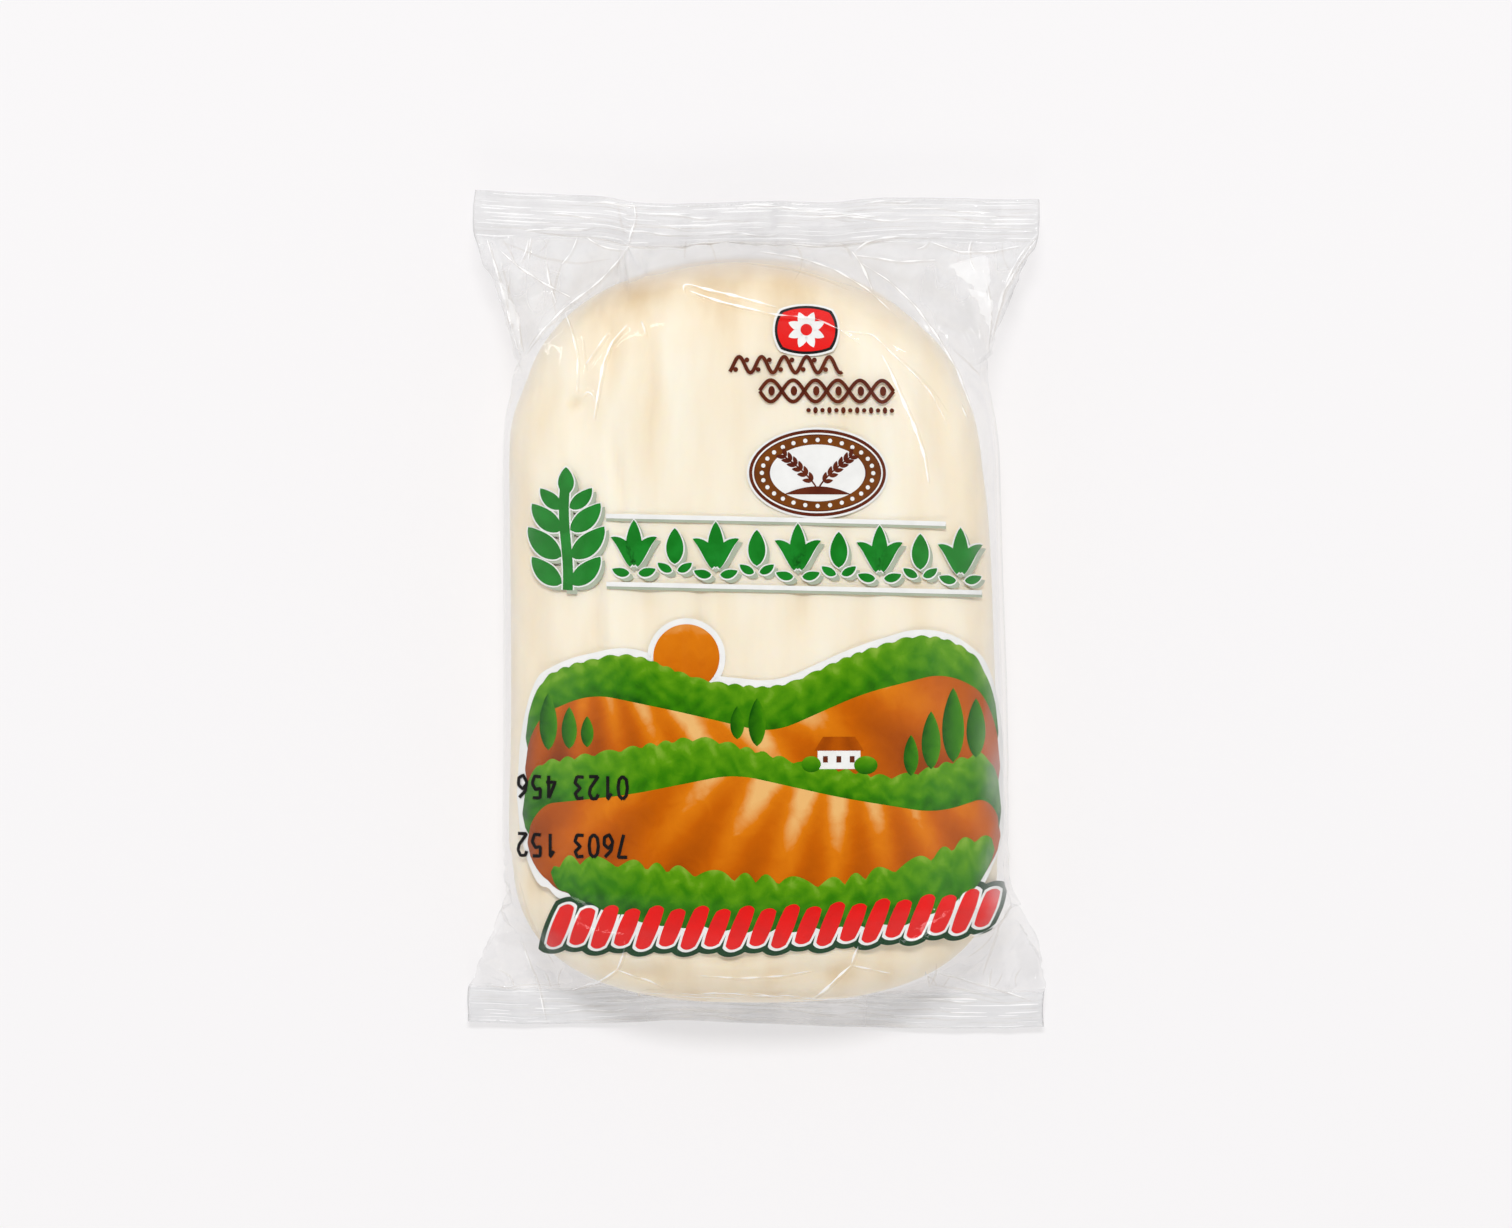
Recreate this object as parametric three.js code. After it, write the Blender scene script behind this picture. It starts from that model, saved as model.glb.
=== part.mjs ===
// A whole cheese sealed in a clear flow-wrapped film bag, lying on its back with the printed face up.
// Millimetres, +Z up. X runs across the pack, +Y towards its top fin. The origin is at the middle of the
// pack's footprint, on the surface that it lies on.
//
// The bag is one tube of film: it clings to the cheese, flattens at each end into a wide crimped fin, and
// flares between the two in a triangular ear at each corner. Film and cheese are one closed solid here.
import * as THREE from "three";
import { LoftGeometry } from "three/addons/geometries/LoftGeometry.js";

// Driving dimensions
const packLength = 160; // cut edge to cut edge
const packHeight = 35.1;
const finDepth = { top: 8.9, foot: 8.0 }; // crimped band, from its root to the cut edge
const finThickness = 0.5; // two layers of film with the swell of their crimps
const finRootHeight = { top: 13, foot: 6.5 };
const finEdgeHeight = { top: 11.5, foot: 2.6 }; // the fins droop, the lower one nearly to the table
const ribPitch = 1.45;
const ribDepth = 0.3;

// How far each side is from the middle line, from the top fin down: out along the ear, in to the waist where
// it meets the cheese, down the body and out again. The left side is straight, the right one widens.
const sideOutline = {
  left: [
    [71.1, 54],
    [47.3, 45.9],
    [41, 47.2],
    [36, 47.9],
    [30, 48.1],
    [-56, 48.1],
    [-71.8, 55.3],
  ],
  right: [
    [71.1, 54],
    [45, 43.9],
    [40, 44.8],
    [33, 46.1],
    [-51, 48.4],
    [-60.5, 53.7],
    [-70, 55.3],
  ],
};
const sideHeight = 15.5; // of the widest line of the body

// Where the cheese's flat crown ends and its rounded ends begin, and where the film meets the fin
const crownFlat = { top: 36, foot: -40 };
const crownEnd = { top: 68.3, foot: -74.2 };
const endRound = { top: [2.3, 0.46], foot: [2.9, 0.38] }; // superellipse powers of the crown's fall
const baseFlat = { top: 54, foot: -60 };
const baseRound = 2.2; // how late the back lifts off towards the fins
const crownDome = 0.3; // how much higher the middle of the crown stands than its ends

// Superellipse powers of the section, over the cheese and at the fins
const overCheese = { crown: [2.5, 0.45], base: [2.8, 0.42] };
const atFin = { crown: [2.2, 0.8], base: [2, 1.1] };
const basePress = 0.9; // how deep the soft underside would hang if nothing pressed it flat

const topSteps = 36; // points over the top of a section
const baseSteps = 20; // and under it

const mix = THREE.MathUtils.lerp;
const ramp = (value, from, to) => THREE.MathUtils.clamp((value - from) / (to - from), 0, 1);
const ease = (value, from, to) => THREE.MathUtils.smoothstep(ramp(value, from, to), 0, 1);
const bell = (distance, reach) => Math.exp(-((distance / reach) ** 2));

const half = packLength / 2;
const finRoot = { top: half - finDepth.top, foot: -(half - finDepth.foot) };

// 0 over the cheese's flat crown, 1 at the root of either fin
function endness(y) {
  return y > 0 ? ramp(y, crownFlat.top, finRoot.top) : ramp(y, crownFlat.foot, finRoot.foot);
}

// Distance from the middle line to the bag's left or right side
function halfWidth(y, side) {
  const knots = sideOutline[side];
  const next = knots.findIndex(([knotY]) => knotY < y);
  if (next === 0) return knots[0][1];
  if (next < 0) return knots.at(-1)[1];
  const [[aboveY, above], [belowY, below]] = knots.slice(next - 1, next + 1);
  return mix(above, below, ramp(y, aboveY, belowY));
}

// Height of the fins' own plane: level across the pack but for a slow wave, drooping to the cut edge
function finHeight(x, y) {
  const end = y > 0 ? "top" : "foot";
  const droop = ramp(Math.abs(y), Math.abs(finRoot[end]), half);
  const wave = 0.5 * Math.sin(x / 11 + (y > 0 ? 0.6 : 2.2)) + 0.3 * Math.sin(x / 4.7);
  return mix(finRootHeight[end], finEdgeHeight[end], droop) + wave * (0.4 + 0.6 * droop);
}

// Height of the bag's widest line, which runs out into the fins
function sideLine(x, y) {
  return mix(sideHeight, finHeight(x, y), ease(endness(y), 0.25, 1));
}

// Height of the crown along the middle of the pack
function crownHeight(y) {
  const end = y > 0 ? "top" : "foot";
  const fall = ramp(y, crownFlat[end], crownEnd[end]);
  const [power, root] = endRound[end];
  const dome = crownDome * (y / crownEnd[end]) ** 2;
  return mix(finRootHeight[end], packHeight - dome * (1 - fall), (1 - fall ** power) ** root);
}

// Low relief of the crown: a dimple by the top left corner, soft lengthwise ribs of the pulled curd
const dimple = { x: -21.5, y: 60, reach: 5.5, depth: 0.8 };
const curdRibs = [
  { x: -36, reach: 4.5, rise: 0.2 },
  { x: -20.5, reach: 3, rise: -0.25 },
  { x: 9, reach: 3, rise: -0.2 },
  { x: 31, reach: 5, rise: 0.15 },
];
function crownRelief(x, y) {
  const ribs = curdRibs.reduce((sum, rib) => sum + rib.rise * bell(x - rib.x, rib.reach), 0);
  const dent = dimple.depth * bell(Math.hypot(x - dimple.x, y - dimple.y), dimple.reach);
  return ribs * (1 - ease(Math.abs(y), 40, 64)) - dent;
}

// Pleats that fan out from the fins over the ears, deepest halfway from the fin to the cheese
const pleats = [
  { x: -47, lean: -0.32, reach: 2.6, rise: 1.5 },
  { x: -36, lean: -0.2, reach: 3, rise: -0.9 },
  { x: -25, lean: 0.15, reach: 6, rise: -1.6 },
  { x: 25, lean: -0.2, reach: 6, rise: -1.6 },
  { x: 37, lean: 0.3, reach: 3, rise: 0.9 },
  { x: 46, lean: 0.35, reach: 2.6, rise: -1.4 },
];
const pleatSpan = { top: [71, 44], foot: [-72, -57] };
function pleatRelief(x, y) {
  const end = y > 0 ? "top" : "foot";
  const [start, stop] = pleatSpan[end];
  const along = ramp(y, start, stop);
  const swell = Math.sin(Math.PI * along);
  const reachOut = Math.abs(y - start);
  return pleats.reduce((sum, p) => sum + p.rise * swell * bell(x - p.x + p.lean * reachOut, p.reach), 0);
}

// How far the cut edge of each fin strays inwards from a straight line, from left to right
function edgeWave(x, end) {
  if (end === "top") {
    const climb = 0.4 * ramp(x, -25, -29) + 1.2 * ramp(x, -27, -52);
    return climb - 1.6 - bell(x + 14, 9) - 0.5 * bell(x - 14, 5);
  }
  const rise = ramp(x, 20, -4) - 0.4 * ramp(x, -22, -34) + 0.5 * ramp(x, -44, -55);
  return rise + 0.5 * bell(x + 16, 4);
}

// One closed section of the bag at y, over the top from left to right and back underneath
function section(y, rib = 0) {
  const end = y > 0 ? "top" : "foot";
  const share = ease(endness(y), 0.15, 1);
  const powers = (part) => [0, 1].map((i) => mix(overCheese[part][i], atFin[part][i], share));
  const crown = crownHeight(y);
  const inFin = ramp(Math.abs(y), Math.abs(finRoot[end]) - 1, Math.abs(finRoot[end]));
  const baseRise = ramp(y, baseFlat[end], crownEnd[end]) ** baseRound;
  const base = mix(-basePress, finRootHeight[end], baseRise);

  function point(angle, part) {
    const [power, root] = powers(part);
    const reach = Math.abs(Math.cos(angle)) ** (2 / power);
    const side = Math.cos(angle) < 0 ? "left" : "right";
    const x = Math.sign(Math.cos(angle)) * reach * halfWidth(y, side);
    const swell = Math.abs(Math.sin(angle)) ** (2 * root);
    const rim = sideLine(x, y);
    const skin = (finThickness / 2) * Math.min(1, Math.abs(Math.sin(angle)) * 6);
    let z;
    if (part === "crown") {
      const relief = (crownRelief(x, y) + pleatRelief(x, y)) * Math.min(1, swell * 3) * (1 - inFin);
      z = rim + Math.max(crown - rim, 0) * swell * (1 - inFin) + skin + relief + rib;
      z = Math.max(z, rim + skin + rib);
    } else {
      z = rim - Math.max(rim - base, 0) * swell * (1 - inFin) - skin + rib;
      z = Math.max(z, 0);
    }
    const stray = edgeWave(x, end) * ramp(Math.abs(y), Math.abs(finRoot[end]), half);
    return new THREE.Vector3(x, y + stray, z);
  }

  const points = [];
  for (let i = 0; i < topSteps; i++) points.push(point(Math.PI * (1 - i / topSteps), "crown"));
  for (let i = 0; i < baseSteps; i++) points.push(point(Math.PI * (i / baseSteps), "base"));
  return points;
}

// Evenly spaced rows from one y to another, without the last
const rows = (from, to, count) => Array.from({ length: count }, (_, i) => mix(from, to, i / count));

// The rows of a fin, from its root outwards, with the crimps as a zigzag
function finRows(end) {
  const sign = end === "top" ? 1 : -1;
  const count = Math.round((2 * finDepth[end]) / ribPitch);
  return Array.from({ length: count }, (_, i) => {
    const share = (i + 1) / count;
    return { y: sign * mix(Math.abs(finRoot[end]), half, share), rib: i % 2 ? ribDepth / 2 : -ribDepth / 2 };
  });
}

function packSections() {
  const body = [
    ...rows(finRoot.foot, -54, 10),
    ...rows(-54, -30, 7),
    ...rows(-30, 28, 7),
    ...rows(28, 46, 6),
    ...rows(46, finRoot.top, 13),
    finRoot.top,
  ];
  const all = [
    ...finRows("foot").reverse(),
    ...body.map((y) => ({ y, rib: 0 })),
    ...finRows("top"),
  ];
  return all.map(({ y, rib }) => section(y, rib));
}

function makePack() {
  const geometry = new LoftGeometry(packSections(), { closed: true, capStart: true, capEnd: true });
  geometry.computeBoundingBox();
  const middle = geometry.boundingBox.getCenter(new THREE.Vector3());
  geometry.translate(-middle.x, -middle.y, -geometry.boundingBox.min.z);
  const material = new THREE.MeshStandardMaterial({ color: "#f1e6cd", roughness: 0.3, metalness: 0 });
  const mesh = new THREE.Mesh(geometry, material);
  mesh.name = "pack";
  return mesh;
}

const part = new THREE.Group();
part.add(makePack());
export default part;
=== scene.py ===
"""A whole cheese sealed in a clear printed flow-wrap bag, lying on its back and seen from straight above."""

import math

import bpy
import numpy as np
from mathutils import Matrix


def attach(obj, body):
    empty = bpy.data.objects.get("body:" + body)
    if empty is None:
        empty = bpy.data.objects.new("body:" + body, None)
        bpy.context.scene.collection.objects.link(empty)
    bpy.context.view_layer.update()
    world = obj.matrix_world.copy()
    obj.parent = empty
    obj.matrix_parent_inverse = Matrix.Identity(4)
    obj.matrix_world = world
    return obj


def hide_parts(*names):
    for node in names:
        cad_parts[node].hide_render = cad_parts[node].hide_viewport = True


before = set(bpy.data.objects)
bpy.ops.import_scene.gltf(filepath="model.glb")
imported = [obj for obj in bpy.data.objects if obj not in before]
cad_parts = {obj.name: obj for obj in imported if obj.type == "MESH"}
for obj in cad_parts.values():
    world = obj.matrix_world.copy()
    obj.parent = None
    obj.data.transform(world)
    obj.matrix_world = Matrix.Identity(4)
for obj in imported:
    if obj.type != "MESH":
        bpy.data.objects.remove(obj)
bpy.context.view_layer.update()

# ---------------------------------------------------------------- camera, floor and light
# A studio table of plain white. The camera looks straight down on the printed face, and soft boxes stand
# round the pack, so that its flat film stays clear and only its creases and shoulders catch them.

MM = 0.001
CAMERA_HEIGHT = 1112 * MM
FIN_LEVEL = 12 * MM  # the height at which the picture's scale holds
PICTURE_WIDTH = 287.7 * MM  # what the picture spans at that height
PICTURE_CENTRE_Y = -0.7 * MM
SENSOR_WIDTH = 36


def set_out(name, data):
    """A new object in the scene that holds a camera, a lamp or a mesh."""
    held = bpy.data.objects.new(name, data)
    bpy.context.collection.objects.link(held)
    return held


def feed(tree, taker, inputs):
    """Gives a shader node its inputs: each is joined to another node's output or set to a value."""
    for socket, value in inputs.items():
        if isinstance(value, bpy.types.NodeSocket):
            tree.links.new(value, taker.inputs[socket])
        else:
            taker.inputs[socket].default_value = value


def shader(tree, kind, inputs, out=0, **settings):
    """Adds a shader node of that kind, with its settings and inputs, and gives back one of its outputs."""
    made = tree.nodes.new("ShaderNode" + kind)
    for setting, value in settings.items():
        setattr(made, setting, value)
    feed(tree, made, inputs)
    return made.outputs[out]


def new_paint(name, empty=True):
    """A new material and its node tree, which is empty or holds the usual body."""
    paint = bpy.data.materials.new(name)
    paint.use_nodes = True
    if empty:
        paint.node_tree.nodes.clear()
    return paint, paint.node_tree


def make_surface(tree, shaded):
    """Lets a material show that shader."""
    tree.links.new(shaded, tree.nodes.new("ShaderNodeOutputMaterial").inputs["Surface"])


def shape(name, points, faces, paint, smooth=True, **layers):
    """A mesh of points in millimetres, with its paint and, in each named layer, a value for each point."""
    mesh = bpy.data.meshes.new(name)
    mesh.from_pydata((points * MM).tolist(), [], faces)
    mesh.polygons.foreach_set("use_smooth", np.full(len(mesh.polygons), smooth))
    mesh.materials.append(paint)
    for layer, values in layers.items():
        mesh.attributes.new(layer, "FLOAT", "POINT").data.foreach_set("value", values.astype(np.float32))
    return set_out(name, mesh)


camera_data = bpy.data.cameras.new("camera")
camera_data.sensor_width = SENSOR_WIDTH
camera_data.lens = SENSOR_WIDTH * (CAMERA_HEIGHT - FIN_LEVEL) / PICTURE_WIDTH
camera_data.clip_start = 0.05
camera = set_out("camera", camera_data)
camera.location = (0, PICTURE_CENTRE_Y, CAMERA_HEIGHT)
bpy.context.scene.camera = camera
bpy.context.scene.view_settings.view_transform = "Standard"

world = bpy.data.worlds.new("room")
world.use_nodes = True
tree = world.node_tree
overhead = shader(tree, "SeparateXYZ", {0: shader(tree, "TexCoord", {}, "Generated")}, "Z")
# a white room, dimmest straight above, where the camera hangs
white_room = {"From Min": 0.7, "From Max": 0.97, "To Min": 0.72, "To Max": 0.02}
brightness = shader(tree, "MapRange", {"Value": overhead, **white_room})
feed(tree, tree.nodes["Background"], {"Color": (1.0, 0.99, 0.995, 1), "Strength": brightness})
bpy.context.scene.world = world


def soft_box(name, bearing, elevation, distance, size, power, shines=True):
    """A rectangular lamp of that size, so far from the pack, turned to face it. It either shines in the film
    as a narrow light or, diffused, lights everything and leaves no reflection."""
    lamp = bpy.data.lights.new(name, "AREA")
    lamp.shape = "RECTANGLE"
    lamp.size, lamp.size_y = size
    lamp.energy = power
    turn, rise = math.radians(bearing), math.radians(elevation)
    held = set_out(name, lamp)
    held.location = (
        distance * math.cos(rise) * math.cos(turn),
        distance * math.cos(rise) * math.sin(turn),
        distance * math.sin(rise),
    )
    held.rotation_euler = (-held.location).to_track_quat("-Z", "Y").to_euler()
    held.visible_glossy, held.visible_diffuse = shines, not shines


soft_box("key", 91, 67, 2.2, (0.5, 0.36), 29, shines=False)
soft_box("fill", 268, 50, 2.2, (0.6, 0.6), 5, shines=False)
STRIPS = ((128, 40, 0.25), (56, 42, 0.35), (228, 36, 0.15), (312, 36, 0.15))  # bearing, elevation and power
for n, (bearing, elevation, power) in enumerate(STRIPS):
    soft_box(f"strip_{n}", bearing, elevation, 0.9, (0.36, 0.03), power)

FLOOR_HALF = 1500
floor_paint, tree = new_paint("floor_white")
glow = shader(tree, "Emission", {"Color": (0.94, 0.925, 0.93, 1), "Strength": 0.582})
matt = shader(tree, "BsdfDiffuse", {"Color": (0.35, 0.345, 0.348, 1)})
make_surface(tree, shader(tree, "AddShader", {0: glow, 1: matt}))
corners = np.array([(-1, -1, 0), (1, -1, 0), (1, 1, 0), (-1, 1, 0)]) * FLOOR_HALF
floor = shape("floor", corners, [(0, 1, 2, 3)], floor_paint, smooth=False)

# ---------------------------------------------------------------- cheese
# One loaf of stretched curd, pressed to an oblong with round ends and a flat back. It is pale cream and
# faintly moist, with soft lengthwise folds where the curd was drawn and a dimple where it was knotted off.

LOAF_HALF_WIDTH = 47.2
LOAF_STRAIGHT = 41.0  # from its middle to where the ends start to round
LOAF_END = 29.9  # length of each rounded end
LOAF_MIDDLE_Y = -3.8
LOAF_SIDE_LEVEL = 15.5  # its widest line
LOAF_TOP = 34.6
LOAF_UNDERSIDE = 0.8  # it lies on the back of its bag
END_POWERS = (2.15, 2.6)  # superellipse powers of its plan at the upper and the lower end
OVER_POWERS = (2.5, 2.2)  # of its section's plan and height above the widest line
UNDER_POWERS = (2.8, 2.4)  # and below it
UNDER_REACH = LOAF_SIDE_LEVEL * 1.06  # how deep it would hang if the table didn't press it flat


def loaf_field(x, y, z):
    """How far out a point lies, and the slope of that: plan and height each run from 0 at the loaf's heart to
    1 at its skin, the plan as a superellipse beyond the straight part, and the field is plan^p + height^q -
    1."""
    y, z = y - LOAF_MIDDLE_Y, z - LOAF_SIDE_LEVEL
    n = np.where(y > 0, *END_POWERS)
    across = np.abs(x) / LOAF_HALF_WIDTH
    beyond = np.maximum(np.abs(y) - LOAF_STRAIGHT, 0) / LOAF_END
    plan = np.maximum((across**n + beyond**n) ** (1 / n), 1e-6)
    over = z > 0
    reach = np.where(over, LOAF_TOP - LOAF_SIDE_LEVEL, UNDER_REACH)
    p, q = (np.where(over, above, below) for above, below in zip(OVER_POWERS, UNDER_POWERS))
    height = np.abs(z) / reach
    slope = p * plan ** (p - 1) * plan ** (1 - n)
    gradient = np.stack(
        [
            slope * across ** (n - 1) / LOAF_HALF_WIDTH * np.sign(x),
            slope * beyond ** (n - 1) / LOAF_END * np.sign(y),
            q * height ** (q - 1) / reach * np.sign(z),
        ],
        -1,
    )
    return plan**p + height**q - 1, gradient


def bell(distance, reach):
    """1 at no distance, falling off smoothly over that reach."""
    return np.exp(-((distance / reach) ** 2))


# Folds and hollows of the crown: where each lies, how far it reaches across and along, how deep it is, and
# how much it is painted yellower, partly the brine's yellowing and partly painted shade in the hollow
HOLLOWS = (
    (-21.5, 60.8, 5.6, 4.0, 1.1, 0.2),
    (-32.0, 37.0, 3.6, 6.0, 0.9, 0.1),
    (-40.5, 38.0, 2.4, 9.0, 0.5, 0.3),
    (-34.6, 38.6, 1.2, 1.5, 0.5, 0.3),
    (-28.2, 46.8, 1.7, 6.5, 0.6, 0.3),
    (-19.4, 41.0, 1.5, 12.0, 0.7, 0.16),
    (-25.2, 26.0, 1.3, 9.0, 0.6, 0.2),
    (-13.0, 34.0, 3.2, 15.0, 0.5, 0.05),
    (-29.3, -1.5, 1.3, 9.0, 0.6, 0.2),
    (-20.2, 1.5, 2.6, 3.5, 0.4, 0.15),
    (-10.0, -0.5, 1.8, 8.0, 0.6, 0.2),
    (9.6, 1.0, 2.0, 5.5, 0.6, 0.3),
    (22.0, 0.0, 2.8, 7.0, 0.4, 0.08),
    (-41.5, -2.0, 3.0, 18.0, 0.6, 0.26),
    (-36.5, -24.0, 1.6, 11.0, 0.6, 0.12),
    (-42.0, -51.0, 3.6, 5.0, 0.7, 0.3),
    (-33.5, -50.0, 2.2, 3.4, 0.6, 0.15),
    (38.5, 30.0, 3.0, 14.0, 0.6, 0.1),
    (-22.0, -68.5, 6.0, 2.0, 0.6, 0.16),
    (14.0, -68.5, 10.0, 2.2, 0.5, 0.2),
    (-4.0, -65.0, 9.0, 1.4, 0.5, 0.08),
    (27.0, -64.0, 6.0, 2.0, 0.5, 0.12),
)


def loaf_relief(x, y):
    """How far the crown lies under a smooth loaf, and how yellow it is painted there, which is partly the
    curd's own colour and partly painted shade in its grooves and hollows: broad lengthwise ribs that wander,
    as slow waves across it, and each hollow as a bell that narrows along its own bend."""
    wander = x + 1.6 * np.sin(y / 13) + 0.8 * np.sin(y / 5.3 + 1)
    ribs = 0.5 + 0.5 * np.sin(wander / 2.3 + 0.7 * np.sin(wander / 6.1)) * np.sin(y / 31 + wander / 17)
    # painted shade, partly the curd's own colour: the deeper a rib's groove, the yellower and darker it is
    # painted
    relief, yellow = -0.5 * ribs, 0.1 * ribs
    for at_x, at_y, wide, long, depth, tint in HOLLOWS:
        bent = x - at_x + 0.05 * (y - at_y) + 0.35 * np.sin((y - at_y) / 3.1 + at_x)
        here = bell(np.hypot(bent / wide, (y - at_y) / long), 1)
        relief, yellow = relief - 1.8 * depth * here, yellow + tint * here
    return relief, yellow


AROUND, ALONG = 288, 300
FILM_GAP = 0.35  # the loaf's skin lies so far inside the film over the crown
SIDE_AIR = 0.98  # and is so much narrower than the bag
turn = np.linspace(0, 2 * np.pi, AROUND, endpoint=False)
stretch = np.linspace(-1, 1, ALONG)
half_length = LOAF_STRAIGHT + LOAF_END
along = np.sign(stretch) * (1 - (1 - np.abs(stretch)) ** 1.35) * half_length
beyond = np.maximum(np.abs(along) - LOAF_STRAIGHT, 0) / LOAF_END
power = np.where(along > 0, *END_POWERS)
width = (1 - np.minimum(beyond, 1) ** power) ** (1 / power)
cross, long = np.cos(turn)[None, :] * np.ones((ALONG, 1)), along[:, None] * np.ones((1, AROUND))
tall_power = power[:, None]
reached = (np.abs(cross) * width[:, None]) ** tall_power + beyond[:, None] ** tall_power
plan = np.clip(reached, 0, 1) ** (1 / tall_power)
rise = np.where(
    np.sin(turn)[None, :] >= 0,
    (LOAF_TOP - LOAF_SIDE_LEVEL) * (1 - plan ** OVER_POWERS[0]) ** (1 / OVER_POWERS[1]),
    -UNDER_REACH * (1 - plan ** UNDER_POWERS[0]) ** (1 / UNDER_POWERS[1]),
)
loaf = np.stack([cross * width[:, None] * LOAF_HALF_WIDTH, long + LOAF_MIDDLE_Y, rise + LOAF_SIDE_LEVEL], -1)
crown_share = np.clip(rise / 8, 0, 1)
relief, yellow = loaf_relief(loaf[..., 0], loaf[..., 1])
loaf[..., 2] += relief * crown_share
off_the_rim = np.where(np.abs(rise) < 0.05, LOAF_SIDE_LEVEL + 0.05, loaf[..., 2])
_, outwards = loaf_field(loaf[..., 0], loaf[..., 1], off_the_rim)
outwards /= np.maximum(np.linalg.norm(outwards, axis=-1, keepdims=True), 1e-9)
loaf -= outwards * FILM_GAP
loaf[..., 0] *= SIDE_AIR
# its upper right shoulder slopes more than the left one: how wide it is there, as a share, at each height on
# the pack
SHOULDER = (
    (8, 1), (20, 0.99), (28.6, 0.965), (34, 0.965), (42, 0.94), (49, 0.91), (53, 0.87), (57, 0.84), (68, 0.8),
)  # fmt: skip
slope_y, slope_share = zip(*SHOULDER)
narrowing = sum(1 - np.interp(loaf[..., 1] + step, slope_y, slope_share) for step in (-4, -2, 0, 2, 4)) / 5
loaf[..., 0] *= 1 - narrowing * np.clip(loaf[..., 0] / 18, 0, 1)
loaf[..., 2] = np.maximum(loaf[..., 2], LOAF_UNDERSIDE)


def grid_faces(rows, columns, wrap=False, first=0):
    """The quads of a grid of points that is stored row by row, closed sideways if it wraps."""
    index = first + np.arange(rows * columns).reshape(rows, columns)
    right = np.roll(index, -1, 1)
    quads = np.stack([index[:-1], right[:-1], right[1:], index[1:]], -1)
    return (quads if wrap else quads[:, :-1]).reshape(-1, 4)


def reckon(tree, operation, *terms, **settings):
    """A Math node of that operation on its terms, and its result."""
    return shader(tree, "Math", dict(enumerate(terms)), operation=operation, **settings)


def colour_scale(tree, share, stops):
    """A scale of colours, each with its place on it, that is read at that share."""
    colours = shader(tree, "ValToRGB", {"Fac": share})
    elements = colours.node.color_ramp.elements
    for element, (place, colour) in zip(elements, (stops[0], stops[-1])):
        element.position, element.color = place, (*colour, 1)
    for place, colour in stops[1:-1]:
        elements.new(place).color = (*colour, 1)
    return colours


CREAMS = ((0.0, (0.945, 0.88, 0.74)), (0.45, (0.875, 0.755, 0.56)), (1.0, (0.66, 0.45, 0.2)))
cheese_paint, tree = new_paint("cheese_cream", empty=False)
place = shader(tree, "TexCoord", {}, "Object")
# its colour runs lengthwise, as the curd was drawn
drawn = shader(tree, "Mapping", {"Vector": place, "Scale": (110, 22, 60)})
mottle = shader(tree, "TexNoise", {"Vector": drawn, "Scale": 1.0, "Detail": 4})
# the yellow layer holds the brine's yellowing and painted shade in the folds, hollows and ends
yellowing = shader(tree, "Attribute", {}, "Fac", attribute_name="yellow")
stirred = reckon(tree, "ADD", mottle, reckon(tree, "SUBTRACT", yellowing, 0.5))
pores = shader(tree, "TexNoise", {"Vector": place, "Scale": 500})
skin = {
    "Base Color": colour_scale(tree, stirred, CREAMS),
    "Roughness": 0.42,
    "Subsurface Weight": 0.25,
    "Subsurface Radius": (1.0, 0.75, 0.4),
    "Subsurface Scale": 2.5 * MM,
    "Normal": shader(tree, "Bump", {"Height": pores, "Strength": 0.05, "Distance": 0.3 * MM}),
}
feed(tree, tree.nodes["Principled BSDF"], skin)

# each end's row of points is one pole
body_rows = loaf[1:-1]
poles = np.stack([loaf[0].mean(0), loaf[-1].mean(0)])
count = body_rows.shape[0] * AROUND
spokes = np.arange(AROUND)
quads = grid_faces(body_rows.shape[0], AROUND, wrap=True)[:, ::-1]  # outwards
first_cap = np.stack([np.full(AROUND, count), spokes, np.roll(spokes, -1)], -1)
last_ring = count - AROUND + spokes
last_cap = np.stack([np.full(AROUND, count + 1), np.roll(last_ring, -1), last_ring], -1)
# both ends are painted yellower and darker, partly the brine's yellowing and partly painted shade, the upper
# one most; its flanks are a little yellower
end_yellow = 0.12 + 0.22 * np.clip((np.abs(loaf[..., 1]) - 44) / 24, 0, 1)
end_yellow += 0.24 * np.clip((loaf[..., 1] - 46) / 14, 0, 1)
end_yellow += 0.06 * np.clip((np.abs(loaf[..., 0]) - 33) / 10, 0, 1)
yellow = (yellow * crown_share + end_yellow)[1:-1].reshape(-1)
cheese = shape(
    "cheese",
    np.concatenate([body_rows.reshape(-1, 3), poles]),
    quads.tolist() + first_cap.tolist() + last_cap.tolist(),
    cheese_paint,
    yellow=np.append(yellow, (0.3, 0.3)),
)
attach(cheese, "root")
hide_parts("pack")

# ---------------------------------------------------------------- film bag
# One tube of clear film, as wide when flat as its fins. It is drawn over the loaf, and each end is pressed
# flat and sealed in crimping jaws, so it wrinkles by itself where it has more length than it needs: at the
# ears and shoulders.

GIRTH = 221.6
CUT_LENGTH = 168.4
PACK_LENGTH = 160
FIN_TOP, FIN_FOOT = 8.9, 8.0  # depth of each crimped band
FIN_LEVELS = (13.0, 6.5)  # height of the top and the foot fin at their roots
FIN_DROOPS = (1.5, 3.9)  # and how far each sinks to its cut edge
HALF_GAP = 0.08  # from the middle of the bag to either layer, at least
BACK_LEVEL = 0.4  # the back lies flat on the table
TUCK_AT, TUCK_REACH, TUCK_SHARE = 30.5, 2.2, 0.8  # a pinch in the top fin, so far from its left end
RIB_PITCH, RIB_DEPTH = 1.45, 0.11
half_cut = CUT_LENGTH / 2
spans = (
    (-half_cut, -half_cut + FIN_FOOT, 28),
    (-half_cut + FIN_FOOT, -half_cut + 42, 72),
    (-half_cut + 42, half_cut - 44, 116),
    (half_cut - 44, half_cut - FIN_TOP, 74),
    (half_cut - FIN_TOP, half_cut, 30),
)
film_rows = np.append(np.concatenate([np.linspace(a, b, n, endpoint=False) for a, b, n in spans]), half_cut)
film_columns = 288


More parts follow.
